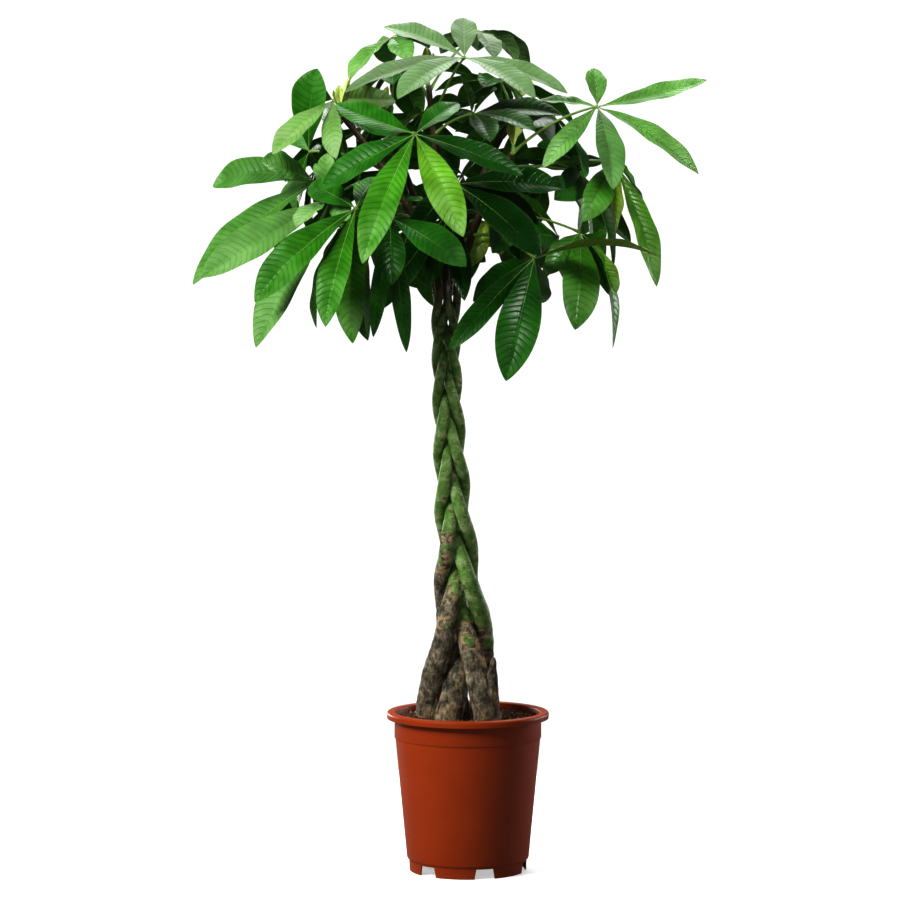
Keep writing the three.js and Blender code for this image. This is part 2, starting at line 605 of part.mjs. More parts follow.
const stemSolids = STEMS.map((_, k) => solidOf(geometryOf(stemSkin(k))));
stemSolids[0] = stemSolids[0].add(stubSolid());
const stemRoom = STEMS.map((_, k) => solidOf(geometryOf(stemSkin(k, GAP))));

function soilSolid() {
  const edge = BAND_R - WALL - 0.6;
  const profile = [...SOIL_RINGS.map((r) => [r, SOIL_TOP]), [edge, SOIL_TOP - 1], [edge, STEP_Z + 2.4],
    [WALL_R_AT_STEP - WALL - 0.6, STEP_Z - 0.4], [WALL_R_AT_FOOT - WALL - 0.6, FLOOR_Z + 5.6],
    [WALL_R_AT_FOOT - WALL - 2.6, FLOOR_Z + 2 + GAP], [0, FLOOR_Z + 2 + GAP]].reverse();
  const block = turned(profile, POT_SIDES);
  const at = block.attributes.position;
  for (let i = 0; i < at.count; i += 1) {
    const x = at.getX(i);
    const y = at.getY(i);
    if (at.getZ(i) > SOIL_TOP - 0.5) {
      at.setZ(i, SOIL_TOP + SOIL_BUMP * (Math.sin(x / 9 + 1) * Math.cos(y / 11) + 0.6 * Math.sin((x + y) / 6)));
    }
  }
  return trimmed(stemRoom.reduce((soil, room) => soil.subtract(room), solidOf(block)));
}

function leafSolid(leaf) {
  const knob = new THREE.OctahedronGeometry(HUB_R).translate(...leaf.hub);
  let solid = solidOf(geometryOf(stalkSkin(leaf.foot, leaf.middle))).add(solidOf(knob));
  leaf.blades.forEach((blade) => { solid = solid.add(solidOf(geometryOf(bladeSkin(blade)))); });
  stemRoom.forEach((room) => { solid = solid.subtract(room); });
  return largestOf(trimmed(solid));
}

function budSolid(stem) {
  let solid = solidOf(geometryOf(budFoot(stem)));
  budBlades(stem).forEach((blade) => { solid = solid.add(solidOf(geometryOf(bladeSkin(blade)))); });
  stemRoom.forEach((room) => { solid = solid.subtract(room); });
  return largestOf(trimmed(solid));
}

add("pot", potSolid(), plastic);
add("soil", soilSolid(), compost);
stemSolids.forEach((solid, k) => add(`stem_${k + 1}`, solid, bark));
STEMS.forEach((stem, k) => add(`bud_${k + 1}`, budSolid(stem), youngLeaf));
LEAVES.forEach((leaf, n) => add(`leaf_${String(n + 1).padStart(2, "0")}`, leafSolid(leaf), greenLeaf));

export default tree;
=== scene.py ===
# A potted money tree: five young trees planted together in a plastic nursery pot and plaited while they were
# soft. Metres, +Z up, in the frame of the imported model.
import math
import random

import bmesh
import bpy
import numpy as np
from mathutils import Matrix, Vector


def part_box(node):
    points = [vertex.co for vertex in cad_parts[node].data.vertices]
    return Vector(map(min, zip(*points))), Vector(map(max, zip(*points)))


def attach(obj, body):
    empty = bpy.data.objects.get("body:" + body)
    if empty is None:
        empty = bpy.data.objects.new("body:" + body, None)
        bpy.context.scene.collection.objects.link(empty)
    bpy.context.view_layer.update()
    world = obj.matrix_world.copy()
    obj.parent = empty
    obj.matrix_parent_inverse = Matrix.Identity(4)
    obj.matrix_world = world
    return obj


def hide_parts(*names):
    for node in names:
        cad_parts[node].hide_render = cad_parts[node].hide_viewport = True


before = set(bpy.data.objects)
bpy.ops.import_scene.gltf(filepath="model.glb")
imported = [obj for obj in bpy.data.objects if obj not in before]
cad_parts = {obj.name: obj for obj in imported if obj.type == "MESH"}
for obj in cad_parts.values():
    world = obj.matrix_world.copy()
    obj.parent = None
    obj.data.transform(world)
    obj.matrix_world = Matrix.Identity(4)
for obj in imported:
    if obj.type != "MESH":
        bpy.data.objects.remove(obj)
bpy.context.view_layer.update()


# The camera. A long lens stands 4.4 m in front of the tree, a little above its middle, and looks slightly
# down, so that the pot's rim shows as a thin ellipse.
CAMERA_PLACE = (-0.0234, -4.40, 0.813)
CAMERA_DOWN_DEG = 3.41
LENS_MM, SENSOR_MM = 135.4, 36

lens = bpy.data.cameras.new("long_lens")
lens.lens = LENS_MM
lens.sensor_width = SENSOR_MM
camera = bpy.data.objects.new("long_lens", lens)
camera.location = CAMERA_PLACE
camera.rotation_euler = (math.radians(90 - CAMERA_DOWN_DEG), 0, 0)
bpy.context.scene.collection.objects.link(camera)
bpy.context.scene.camera = camera


# The studio. A disc of matt white paper lies on the floor, and the room behind it is white. A big soft box
# stands high at the left behind a polarising sheet, which takes its glare away, and a small bare lamp beside
# it gives the glints. A gridded box at the right reaches the crown alone, two behind edge the pot and the
# stems, and one hangs over the back and lays a pale sheen on the top leaves. The rest of the room is dim.
PAPER_ACROSS, PAPER_SIDES = 1.7, 96
NO_GLARE = {"left_soft_box"}
ROOM_LIGHT, FLOOR_BOUNCE, FLOOR_GLOW = 0.12, 0.2, 0.5
VIEW_EXPOSURE, VIEW_GAMMA = 0.14, 0.8

# Each lamp's name, place, aim, width, watts and spread in degrees
SOFT_BOXES = [
    ("left_soft_box", (-2.7, -1.8, 2.7), (0, 0, 0.75), 2.0, 138, 180),
    ("glint_lamp", (-2.3, -2.3, 2.3), (0, 0, 0.8), 0.45, 24, 180),
    ("gridded_soft_box", (1.9, -1.9, 2.1), (0.1, 0, 1.0), 0.6, 0.9, 20),
    ("right_edge_box", (2.0, 1.5, 0.6), (0, 0, 0.25), 0.8, 0.62, 26),
    ("left_edge_box", (-1.5, 2.2, 0.5), (0, 0, 0.3), 0.8, 24, 180),
    ("back_soft_box", (0.1, 2.0, 3.2), (0, 0, 0.95), 2.3, 62, 180),
]


def linear(code):
    """An sRGB hex colour as linear red, green, blue and alpha."""
    shares = [int(code[i:i + 2], 16) / 255 for i in (1, 3, 5)]
    return tuple(s / 12.92 if s <= 0.04045 else ((s + 0.055) / 1.055) ** 2.4 for s in shares) + (1.0,)


def add_node(tree, kind, feeds=None, **settings):
    """Adds a node. Each feed is an input's value, a hex colour for it, or an output to link to it."""
    made = tree.nodes.new(kind)
    for name, value in settings.items():
        setattr(made, name, value)
    for name, value in (feeds or {}).items():
        if isinstance(value, bpy.types.NodeSocket):
            tree.links.new(value, made.inputs[name])
        else:
            is_colour = isinstance(value, str) and value.startswith("#")
            made.inputs[name].default_value = linear(value) if is_colour else value
    return made


def out_of(tree, kind, feeds=None, **settings):
    """Adds a node and gives its first output."""
    return add_node(tree, kind, feeds, **settings).outputs[0]


def maths(tree, operation, *terms, **settings):
    """The result of a sum on numbers or outputs."""
    return out_of(tree, "ShaderNodeMath", dict(enumerate(terms)), operation=operation, **settings)


def times(tree, first, second):
    """One number times another."""
    return maths(tree, "MULTIPLY", first, second)


def ranged(tree, value, start=(0, 1), to=(0, 1), smooth=False):
    """A value carried from one range to another and held inside it, eased at both ends if smooth."""
    feeds = {"Value": value, "From Min": start[0], "From Max": start[1], "To Min": to[0], "To Max": to[1]}
    return out_of(tree, "ShaderNodeMapRange", feeds,
                  interpolation_type="SMOOTHSTEP" if smooth else "LINEAR")


def mixed(tree, share, first, second, blend="MIX"):
    """The colour that a share of the second colour gives with the first."""
    made = add_node(tree, "ShaderNodeMix", {0: share, 6: first, 7: second},
                    data_type="RGBA", blend_type=blend)
    return made.outputs[2]


def noise(tree, place, scale, detail=2.0, roughness=0.5):
    """A cloudy share from 0 to 1 that changes with the place."""
    made = add_node(tree, "ShaderNodeTexNoise", {"Scale": scale, "Detail": detail, "Roughness": roughness})
    if place:
        tree.links.new(place, made.inputs["Vector"])
    return made.outputs["Fac"]


def new_finish(name):
    """A material with an empty tree."""
    finish = bpy.data.materials.new(name)
    finish.use_nodes = True
    finish.node_tree.nodes.clear()
    return finish, finish.node_tree


def coated(tree, feeds):
    """Ends a material's tree in one surface."""
    add_node(tree, "ShaderNodeOutputMaterial", {"Surface": out_of(tree, "ShaderNodeBsdfPrincipled", feeds)})


# Matt coated paper, lit from below as well: no gloss, a barely uneven white. It throws little light back up
# at the plant, so the undersides stay dark.
paper, tree = new_finish("matt_white_paper")
white = mixed(tree, noise(tree, None, 3.0, 3.0), "#fcfcfb", "#ffffff")
seen = add_node(tree, "ShaderNodeLightPath").outputs["Is Camera Ray"]
shown = mixed(tree, 1.0, white, ranged(tree, seen, to=(FLOOR_BOUNCE, 1)), "MULTIPLY")
coated(tree, {"Base Color": shown, "Roughness": 0.95, "Specular IOR Level": 0.1,
              "Emission Color": (1, 1, 1, 1), "Emission Strength": times(tree, seen, FLOOR_GLOW)})

disc = bmesh.new()
bmesh.ops.create_circle(disc, cap_ends=True, segments=PAPER_SIDES, radius=PAPER_ACROSS / 2)
sheet = bpy.data.meshes.new("paper_floor")
disc.to_mesh(sheet)
disc.free()
sheet.materials.append(paper)
floor = bpy.data.objects.new("paper_floor", sheet)
bpy.context.scene.collection.objects.link(floor)

for name, place, aim, across, watts, spread_deg in SOFT_BOXES:
    box = bpy.data.lights.new(name, "AREA")
    box.shape = "DISK"
    box.size = across
    box.energy = watts
    box.spread = math.radians(spread_deg)
    lamp = bpy.data.objects.new(name, box)
    lamp.location = place
    lamp.rotation_euler = (Vector(aim) - Vector(place)).to_track_quat("-Z", "Y").to_euler()
    lamp.visible_glossy = name not in NO_GLARE
    bpy.context.scene.collection.objects.link(lamp)

room = bpy.data.worlds.new("white_room")
room.use_nodes = True
tree = room.node_tree
tree.nodes.clear()
seen = add_node(tree, "ShaderNodeLightPath").outputs["Is Camera Ray"]
glow = out_of(tree, "ShaderNodeBackground",
              {"Color": (1, 1, 1, 1), "Strength": ranged(tree, seen, to=(ROOM_LIGHT, 1))})
add_node(tree, "ShaderNodeOutputWorld", {"Surface": glow})
bpy.context.scene.world = room

# Standard colours, with the deep shadows of a crisp catalogue print
view = bpy.context.scene.view_settings
view.view_transform = "Standard"
view.exposure = VIEW_EXPOSURE
view.gamma = VIEW_GAMMA


# The pot. A nursery pot of terracotta-coloured polypropylene, injection moulded in one piece: a thin wall
# with a stacking step, a lip turned down all round, and a foot ring that six notches cut for drainage.
RIM_R, RIM_TOP, LIP_DEPTH, LIP_WALL = 0.106, 0.209, 0.009, 0.002
BAND_R, STEP_Z = 0.096, 0.174
WALL_R_AT_STEP, WALL_R_AT_FOOT, WALL_FOOT_Z, WALL = 0.0948, 0.0798, 0.018, 0.0018
FOOT_R, FLOOR_Z, CENTRE_FOOT_R = 0.077, 0.014, 0.013
NOTCHES, FIRST_NOTCH_DEG, NOTCH_TOP_W, NOTCH_FOOT_W = 6, 16.5, 0.023, 0.028
DRAIN_R, DRAIN_RING_R = 0.0055, 0.058
POT_SIDES, POT_WELD, SHARP_DEG = 160, 2e-5, 38

# The radius at which the wall's section is turned; the section itself is drawn from here
TURNING_R = 0.05


def object_place(tree):
    """Where on the object a point lies, as the materials read it."""
    return add_node(tree, "ShaderNodeTexCoord").outputs["Object"]


def part_of(tree, vector, axis):
    """One axis of a place."""
    return add_node(tree, "ShaderNodeSeparateXYZ", {0: vector}).outputs[axis]


def drawn_out(tree, place, scale):
    """A place scaled along each axis, to draw out or press together what it steers."""
    return out_of(tree, "ShaderNodeMapping", {"Vector": place, "Scale": scale})


def bumped(tree, height, distance, strength):
    """Fine relief from a height."""
    return out_of(tree, "ShaderNodeBump", {"Height": height, "Distance": distance, "Strength": strength})


def new_tree(name, inputs):
    """A Geometry Nodes tree with named inputs, the outputs of its input node, and the inputs' identifiers."""
    made = bpy.data.node_groups.new(name, "GeometryNodeTree")
    made.interface.new_socket("Geometry", in_out="OUTPUT", socket_type="NodeSocketGeometry")
    made.interface.new_socket("Geometry", in_out="INPUT", socket_type="NodeSocketGeometry")
    keys = {}
    for label, kind in inputs.items():
        socket_type = "NodeSocket" + kind
        keys[label] = made.interface.new_socket(label, in_out="INPUT", socket_type=socket_type).identifier
    return made, made.nodes.new("NodeGroupInput").outputs, keys


def end_tree(tree, geometry, material, marked=None, marked_material=None):
    """Ends a tree in plain geometry of one material, with a second where it is marked."""
    plain = out_of(tree, "GeometryNodeRealizeInstances", {0: geometry})
    dressed = out_of(tree, "GeometryNodeSetMaterial", {"Geometry": plain, "Material": material})
    if marked:
        dressed = out_of(tree, "GeometryNodeSetMaterial",
                         {"Geometry": dressed, "Selection": marked, "Material": marked_material})
    add_node(tree, "NodeGroupOutput", {0: dressed})


def grow(piece, tree, keys, values):
    """Puts a tree on a piece as a modifier, with a value for each input."""
    modifier = piece.modifiers.new(tree.name, "NODES")
    modifier.node_group = tree
    for label, value in values.items():
        modifier[keys[label]] = value


def finished(piece):
    """Makes the evaluated result the piece's own plain mesh, and removes its modifiers."""
    shaped = bpy.data.meshes.new_from_object(piece.evaluated_get(bpy.context.evaluated_depsgraph_get()))
    piece.modifiers.clear()
    piece.data = shaped
    shaped.name = piece.name


def new_piece(name, points, edges=(), faces=()):
    """A mesh object at the origin."""
    mesh = bpy.data.meshes.new(name)
    mesh.from_pydata(points, edges, faces)
    piece = bpy.data.objects.new(name, mesh)
    bpy.context.scene.collection.objects.link(piece)
    return piece


# Injection-moulded polypropylene: a soft satin skin that shrinks a little unevenly over the wall, with fine
# scuffs round the pot and a film of dried compost dust low on the foot
plastic, tree = new_finish("moulded_polypropylene")
place = object_place(tree)
cloud = noise(tree, place, 22.0, 3.0)
scuff = noise(tree, drawn_out(tree, place, (18, 18, 420)), 1.0, 4.0)
grit = noise(tree, place, 900.0)
low = ranged(tree, part_of(tree, place, "Z"), (0.03, 0), (0, 0.22), smooth=True)
dust = times(tree, low, cloud)
dusty = mixed(tree, dust, mixed(tree, cloud, "#ab3e0b", "#bb4a11"), "#6d5340")
skin = maths(tree, "MULTIPLY_ADD", cloud, 3.0, grit)
coated(tree, {"Base Color": dusty, "Roughness": ranged(tree, scuff, (0.3, 0.7), (0.38, 0.48)),
              "Normal": bumped(tree, skin, 0.00012, 0.5), "IOR": 1.49})

# The wall's section, from the middle of the floor up the inside, over the lip and down the outside. The lip
# and the step are rounded as the mould rounds them.
section = [(0.0005, FLOOR_Z + 0.002), (WALL_R_AT_FOOT - WALL - 0.004, FLOOR_Z + 0.002),
           (WALL_R_AT_FOOT - WALL - 0.0012, FLOOR_Z + 0.0028), (WALL_R_AT_FOOT - WALL, FLOOR_Z + 0.006),
           (WALL_R_AT_STEP - WALL, STEP_Z), (WALL_R_AT_STEP - WALL + 0.0004, STEP_Z + 0.001),
           (BAND_R - WALL, STEP_Z + 0.0018), (BAND_R - WALL, RIM_TOP - 0.0022)]
for turn in range(7):
    a = math.radians(180 - 15 * turn)
    section.append((BAND_R + 0.0012 + 0.003 * math.cos(a), RIM_TOP - 0.0022 + 0.0022 * math.sin(a)))
for turn in range(7):
    a = math.radians(90 - 15 * turn)
    section.append((RIM_R - 0.0034 + 0.0034 * math.cos(a), RIM_TOP - 0.0036 + 0.0036 * math.sin(a)))
section += [(RIM_R - 0.0002, RIM_TOP - 0.006), (RIM_R - 0.0005, RIM_TOP - LIP_DEPTH + 0.0004),
            (RIM_R - 0.0010, RIM_TOP - LIP_DEPTH), (RIM_R - 0.0006 - LIP_WALL, RIM_TOP - LIP_DEPTH),
            (RIM_R - 0.0008 - LIP_WALL, RIM_TOP - LIP_DEPTH + 0.0005),
            (RIM_R - 0.0010 - LIP_WALL, RIM_TOP - LIP_WALL - 0.002),
            (RIM_R - 0.0020 - LIP_WALL, RIM_TOP - LIP_WALL - 0.0006),
            (BAND_R + 0.001, RIM_TOP - LIP_WALL - 0.0006), (BAND_R, RIM_TOP - LIP_WALL - 0.0016),
            (BAND_R, STEP_Z + 0.0016), (BAND_R - 0.0003, STEP_Z + 0.0008),
            (WALL_R_AT_STEP, STEP_Z), (WALL_R_AT_STEP - 0.0003, STEP_Z - 0.003),
            (WALL_R_AT_FOOT, WALL_FOOT_Z), (WALL_R_AT_FOOT - 0.0006, WALL_FOOT_Z - 0.0016),
            (FOOT_R + 0.0004, FLOOR_Z + 0.0006), (FOOT_R, FLOOR_Z - 0.0006), (FOOT_R - 0.0006, 0.0006),
            (FOOT_R - 0.0012, 0), (FOOT_R - 0.0006 - WALL, 0), (FOOT_R - 0.0004 - WALL, FLOOR_Z - 0.001),
            (FOOT_R - 0.0014 - WALL, FLOOR_Z), (CENTRE_FOOT_R + 0.0016, FLOOR_Z),
            (CENTRE_FOOT_R + 0.0009, FLOOR_Z - 0.001), (CENTRE_FOOT_R, 0.0005), (CENTRE_FOOT_R - 0.0006, 0),
            (0.0005, 0)]

tree, given, keys = new_tree("turned_pot", {
    "Sides": "Int", "Notches": "Int", "First notch": "Float", "Notch cutter": "Object",
    "Plastic": "Material"})
line = out_of(tree, "GeometryNodeMeshToCurve", {0: given["Geometry"]})
path = out_of(tree, "GeometryNodeCurvePrimitiveCircle", {"Resolution": given["Sides"], "Radius": TURNING_R})
wall = out_of(tree, "GeometryNodeCurveToMesh", {"Curve": path, "Profile Curve": line})
spots = out_of(tree, "GeometryNodeMeshCircle", {"Vertices": given["Notches"], "Radius": 0.0001})
step = maths(tree, "DIVIDE", math.tau, given["Notches"])
turn = out_of(tree, "GeometryNodeInputIndex")
angle = maths(tree, "MULTIPLY_ADD", turn, step, given["First notch"])
facing = out_of(tree, "ShaderNodeCombineXYZ", {"Z": angle})
cutter = add_node(tree, "GeometryNodeObjectInfo", {"Object": given["Notch cutter"]}).outputs["Geometry"]
cutters = out_of(tree, "GeometryNodeInstanceOnPoints",
                 {"Points": spots, "Instance": cutter, "Rotation": facing})
cores = out_of(tree, "GeometryNodeRealizeInstances", {0: cutters})
cut = out_of(tree, "GeometryNodeMeshBoolean", {"Mesh 1": wall, "Mesh 2": cores},
             operation="DIFFERENCE", solver="EXACT")
end_tree(tree, cut, given["Plastic"])

# One notch and one drain hole, as the mould's core makes them
top, foot = NOTCH_TOP_W / 2, NOTCH_FOOT_W / 2
near, far = FOOT_R - 0.007, FOOT_R + 0.005
corners = [(-foot, -0.001), (foot, -0.001), (top, FLOOR_Z - 0.0008), (-top, FLOOR_Z - 0.0008)]
block = bmesh.new()
front = [block.verts.new((x, -far, z)) for x, z in corners]
back = [block.verts.new((x, -near, z)) for x, z in corners]
block.faces.new(front)
block.faces.new(back[::-1])
for i in range(4):
    block.faces.new((front[i], back[i], back[(i + 1) % 4], front[(i + 1) % 4]))
bmesh.ops.create_cone(block, cap_ends=True, segments=24, radius1=DRAIN_R, radius2=DRAIN_R, depth=0.008)
bmesh.ops.translate(block, verts=block.verts[8:], vec=(0, -DRAIN_RING_R, FLOOR_Z + 0.001))
bmesh.ops.recalc_face_normals(block, faces=block.faces)
core = new_piece("mould_core", [])
block.to_mesh(core.data)
block.free()

pot = new_piece("nursery_pot", [(r - TURNING_R, -z, 0) for r, z in section],
                [(i, (i + 1) % len(section)) for i in range(len(section))])
grow(pot, tree, keys, {
    "Sides": POT_SIDES, "Notches": NOTCHES, "First notch": math.radians(FIRST_NOTCH_DEG),
    "Notch cutter": core, "Plastic": plastic})
finished(pot)
bpy.data.objects.remove(core)
shell = bmesh.new()
shell.from_mesh(pot.data)
bmesh.ops.remove_doubles(shell, verts=shell.verts, dist=POT_WELD)
for face in shell.faces:
    face.smooth = True
shell.to_mesh(pot.data)
shell.free()
pot.data.set_sharp_from_angle(angle=math.radians(SHARP_DEG))
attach(pot, "root")
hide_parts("pot")


# The stems. Each tree's bark is grey-brown and cracked at the swollen foot, then green and smooth, and woody
# again high up. The centre line and thickness of each are read level by level from its solid, and the bark
# follows them.
BARK_SIDES, BARK_RING = 30, 0.0035
LUMP_HEIGHT, LUMPS_PER_M = 0.0012, 95.0
SMOOTH_ABOVE = 0.36

# How a stem's solid is read: how close points are joined; how far apart the levels are, and how far inside
# its ends; the most edges of a plain round cut; the passes that trim a cut or smooth the line; how many times
# the usual distance is off the stem; the share of its radius that a faceted ring shows
SOLID_WELD = 1e-5
LEVEL = 0.008
INSIDE_FOOT, INSIDE_TOP = 0.0008, 0.0004
ROUND_CUT = 17
PASSES = 3
OFF_LINE = 1.45
FACET_SHARE = 0.96

# How high the bark has grown up each stem
BARK_TOPS = {"stem_1": 0.33, "stem_2": 0.37, "stem_3": 0.315, "stem_4": 0.43, "stem_5": 0.31}

# The splinter of a side shoot that broke off low on the first stem: where it leaves the stem, between which
# heights its solid ends, how far its tip leans out, and its radius at shares of its length
SPLINTERED = "stem_1"
SPLINTER_FROM_Z = 0.205
SHOOT_LOW, SHOOT_HIGH = 0.255, 0.295
TIP_ASIDE = 0.003
SPLINTER = [(0.2, 0.0148), (0.5, 0.0102), (0.75, 0.0066), (0.92, 0.0036), (1.0, 0.0012)]


def merged(node):
    """A bmesh copy of a node with its loose triangles joined."""
    copy = bmesh.new()
    copy.from_mesh(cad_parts[node].data)
    bmesh.ops.remove_doubles(copy, verts=copy.verts, dist=SOLID_WELD)
    copy.verts.ensure_lookup_table()
    return copy


def centre_line(node):
    """Points up the middle of a stem, and its radius at each. A level that cuts a side shoot is left out."""
    solid = merged(node)
    ends = np.array([[list(v.co) for v in edge.verts] for edge in solid.edges])
    solid.free()
    heights = ends[:, :, 2]
    line, radii = [], []
    for z in np.arange(heights.min() + INSIDE_FOOT, heights.max() - INSIDE_TOP, LEVEL):
        crossing = (heights.min(axis=1) < z) & (heights.max(axis=1) > z)
        if crossing.sum() > ROUND_CUT:
            continue
        a, b = ends[crossing, 0], ends[crossing, 1]
        spots = a + (b - a) * ((z - a[:, 2]) / (b[:, 2] - a[:, 2]))[:, None]
        for _ in range(PASSES):
            middle = spots.mean(axis=0)
            away = np.linalg.norm(spots - middle, axis=1)
            spots = spots[away < OFF_LINE * np.median(away)]
        line.append(middle)
        radii.append(np.linalg.norm(spots - middle, axis=1).mean() / FACET_SHARE)
    line, radii = np.array(line), np.array(radii)
    for _ in range(PASSES):
        line[1:-1] = (line[:-2] + 2 * line[1:-1] + line[2:]) / 4
        radii[1:-1] = (radii[:-2] + 2 * radii[1:-1] + radii[2:]) / 4
    lean = np.gradient(line, axis=0)
    upright = lean[:, 2] / np.linalg.norm(lean, axis=1)
    return line, radii * 2 / (1 + 1 / upright)


def ramp(tree, share, *stops):
    """A colour that runs through hex colours, each at its own share."""
    made = add_node(tree, "ShaderNodeValToRGB", {0: share})
    bar = made.color_ramp.elements
    for element, (at, code) in ((bar[0], stops[0]), (bar[1], stops[-1])):
        element.position = at
        element.color = linear(code)
    for at, code in stops[1:-1]:
        bar.new(at).color = linear(code)
    return made.outputs[0]


def stored(tree, label, kind="FLOAT"):
    """What a piece's points store under a name, read in a Geometry Nodes tree."""
    return out_of(tree, "GeometryNodeInputNamedAttribute", {"Name": label}, data_type=kind)


def told(tree, label):
    """The same, read in a material."""
    return add_node(tree, "ShaderNodeAttribute", attribute_name=label).outputs["Fac"]


def scaled(tree, vector, share):
    """A vector times a number."""
    return out_of(tree, "ShaderNodeVectorMath", {0: vector, "Scale": share}, operation="SCALE")


def tube_along(tree, curve, sides, radius):
    """A round tube with closed ends along a curve."""
    ring = out_of(tree, "GeometryNodeCurvePrimitiveCircle", {"Resolution": sides, "Radius": 1.0})
    return out_of(tree, "GeometryNodeCurveToMesh",
                  {"Curve": curve, "Profile Curve": ring, "Scale": radius, "Fill Caps": True})


def store(piece, label, numbers):
    """Stores a number for each point of a piece."""
    kept = piece.data.attributes.new(label, "FLOAT", "POINT")
    kept.data.foreach_set("value", [float(n) for n in numbers])


# Living bark: on the foot dark grey-brown cork with pale lichen, rusty near the soil, that flakes off where
# it ends and leaves tan rings; above it smooth green skin with brown ring scars; near the crown dark twigs
bark, tree = new_finish("living_bark")
place = object_place(tree)
height = part_of(tree, place, "Z")
blotch = noise(tree, place, 60.0, 8.0, 0.74)
crack = noise(tree, drawn_out(tree, place, (1, 1, 0.4)), 230.0, 6.0, 0.75)
cork = ramp(tree, blotch, (0.34, "#3b352c"), (0.45, "#6b6353"), (0.56, "#999079"), (0.68, "#d2c5a4"))
cork_tone = mixed(tree, 1.0, cork, ranged(tree, crack, (0.38, 0.6), (0.22, 1.4)), "MULTIPLY")
near_soil = ranged(tree, height, (0.25, 0.205), (0, 0.45), smooth=True)
rusty = ranged(tree, blotch, (0.48, 0.6), smooth=True)
foot_tone = mixed(tree, times(tree, near_soil, rusty), cork_tone, "#ab8455")
green = ramp(tree, blotch, (0.32, "#3d6420"), (0.5, "#729a4b"), (0.68, "#c6d2a0"))
band = noise(tree, drawn_out(tree, place, (1, 1, 2.6)), 75.0, 4.0)
scar = ranged(tree, band, (0.6, 0.65), (0, 0.85), smooth=True)
green_tone = mixed(tree, scar, green, "#6d5738")
over = maths(tree, "SUBTRACT", height, told(tree, "bark_top"))
ragged = maths(tree, "MULTIPLY_ADD", noise(tree, place, 42.0, 4.0), 0.22, over)
turning = ranged(tree, ragged, (0.10, 0.122), smooth=True)
peeled = ranged(tree, ragged, (0.055, 0.095), smooth=True)
flaking = ranged(tree, band, (0.52, 0.57), smooth=True)
worn_tone = mixed(tree, times(tree, peeled, flaking), foot_tone, "#caa67c")
trunk_tone = mixed(tree, turning, worn_tone, green_tone)
woody = ranged(tree, height, (0.67, 0.78), smooth=True)
tone = mixed(tree, woody, trunk_tone, mixed(tree, blotch, "#33261a", "#5f4a33"))
depth = ranged(tree, turning, to=(1.0, 0.25))
coated(tree, {"Base Color": tone, "Roughness": ranged(tree, turning, to=(0.88, 0.52)),
              "Normal": bumped(tree, crack, 0.003, depth)})

tree, given, keys = new_tree("bark_on_stem", {
    "Sides": "Int", "Ring spacing": "Float", "Lump height": "Float", "Lumps per metre": "Float",
    "Smooth above": "Float", "Bark": "Material"})
line = out_of(tree, "GeometryNodeMeshToCurve", {0: given["Geometry"]})
eased = out_of(tree, "GeometryNodeCurveSplineType", {0: line}, spline_type="CATMULL_ROM")
spaced = out_of(tree, "GeometryNodeResampleCurve", {"Curve": eased, "Length": given["Ring spacing"]},
                mode="LENGTH")
tube = tube_along(tree, spaced, given["Sides"], stored(tree, "stem_radius"))
where = out_of(tree, "GeometryNodeInputPosition")
lump = noise(tree, where, given["Lumps per metre"], 4.0)
raised = ranged(tree, lump, (0.3, 0.7), (-0.7, 0.7))
up = maths(tree, "DIVIDE", part_of(tree, where, "Z"), given["Smooth above"])
fading = ranged(tree, up, (0.8, 1.2), (1.0, 0.3))
tall = times(tree, raised, given["Lump height"])
outward = out_of(tree, "GeometryNodeInputNormal")
push = scaled(tree, outward, times(tree, tall, fading))
barked = out_of(tree, "GeometryNodeSetPosition", {"Geometry": tube, "Offset": push})
end_tree(tree, out_of(tree, "GeometryNodeSetShadeSmooth", {"Geometry": barked}), given["Bark"])

stem_nodes = sorted(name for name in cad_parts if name.startswith("stem_"))
stem_lines = {name: centre_line(name) for name in stem_nodes}
stems = []
for name in stem_nodes:
    line, radii = stem_lines[name]
    points, links, thick = list(line), [(i, i + 1) for i in range(len(line) - 1)], list(radii)
    if name == SPLINTERED:
        solid = merged(name)
        low = [v.co.copy() for v in solid.verts if SHOOT_LOW < v.co.z < SHOOT_HIGH]
        solid.free()
        tip = max(low, key=lambda p: min((Vector(q) - p).length for q in line))
        tip.x += TIP_ASIDE
        start = Vector(min(line, key=lambda q: abs(q[2] - SPLINTER_FROM_Z)))
        links += [(len(points) + i, len(points) + i + 1) for i in range(len(SPLINTER) - 1)]
        for share, wide in SPLINTER:
            points.append(start.lerp(tip, share))
            thick.append(wide)
    stem = new_piece("plaited_" + name, [tuple(p) for p in points], links)
    store(stem, "stem_radius", thick)
    store(stem, "bark_top", [BARK_TOPS[name]] * len(points))
    grow(stem, tree, keys, {
        "Sides": BARK_SIDES, "Ring spacing": BARK_RING, "Lump height": LUMP_HEIGHT,
        "Lumps per metre": LUMPS_PER_M, "Smooth above": SMOOTH_ABOVE, "Bark": bark})
    stems.append((stem, name))
for stem, name in stems:
    finished(stem)
    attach(stem, "root")
    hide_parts(name)


# The soil. Dark potting compost fills the pot to just below the rim; crumbs of peat, chips of bark and a few
# pale granules lie on it. It was poured in round the stems and has settled a little.
SOIL_EDGE_R = BAND_R - WALL - 0.0006
SOIL_TOP = 0.2
SOIL_SIDES, TOP_RINGS = 96, 30
HOLLOWS, PALE_SHARE = 0.0022, 0.06
SCATTER_SEED, TURN_SEED, SHAPE_SEED, PALE_SEED = 11, 3, 5, 8

# How many crumbs lie on a square metre, their size, and the least and most shares of it along each axis
CRUMBS_PER_M2 = 62000
CRUMB = 0.0026
LEAST_CRUMB, MOST_CRUMB = (0.25, 0.3, 0.2), (1.5, 0.9, 0.7)


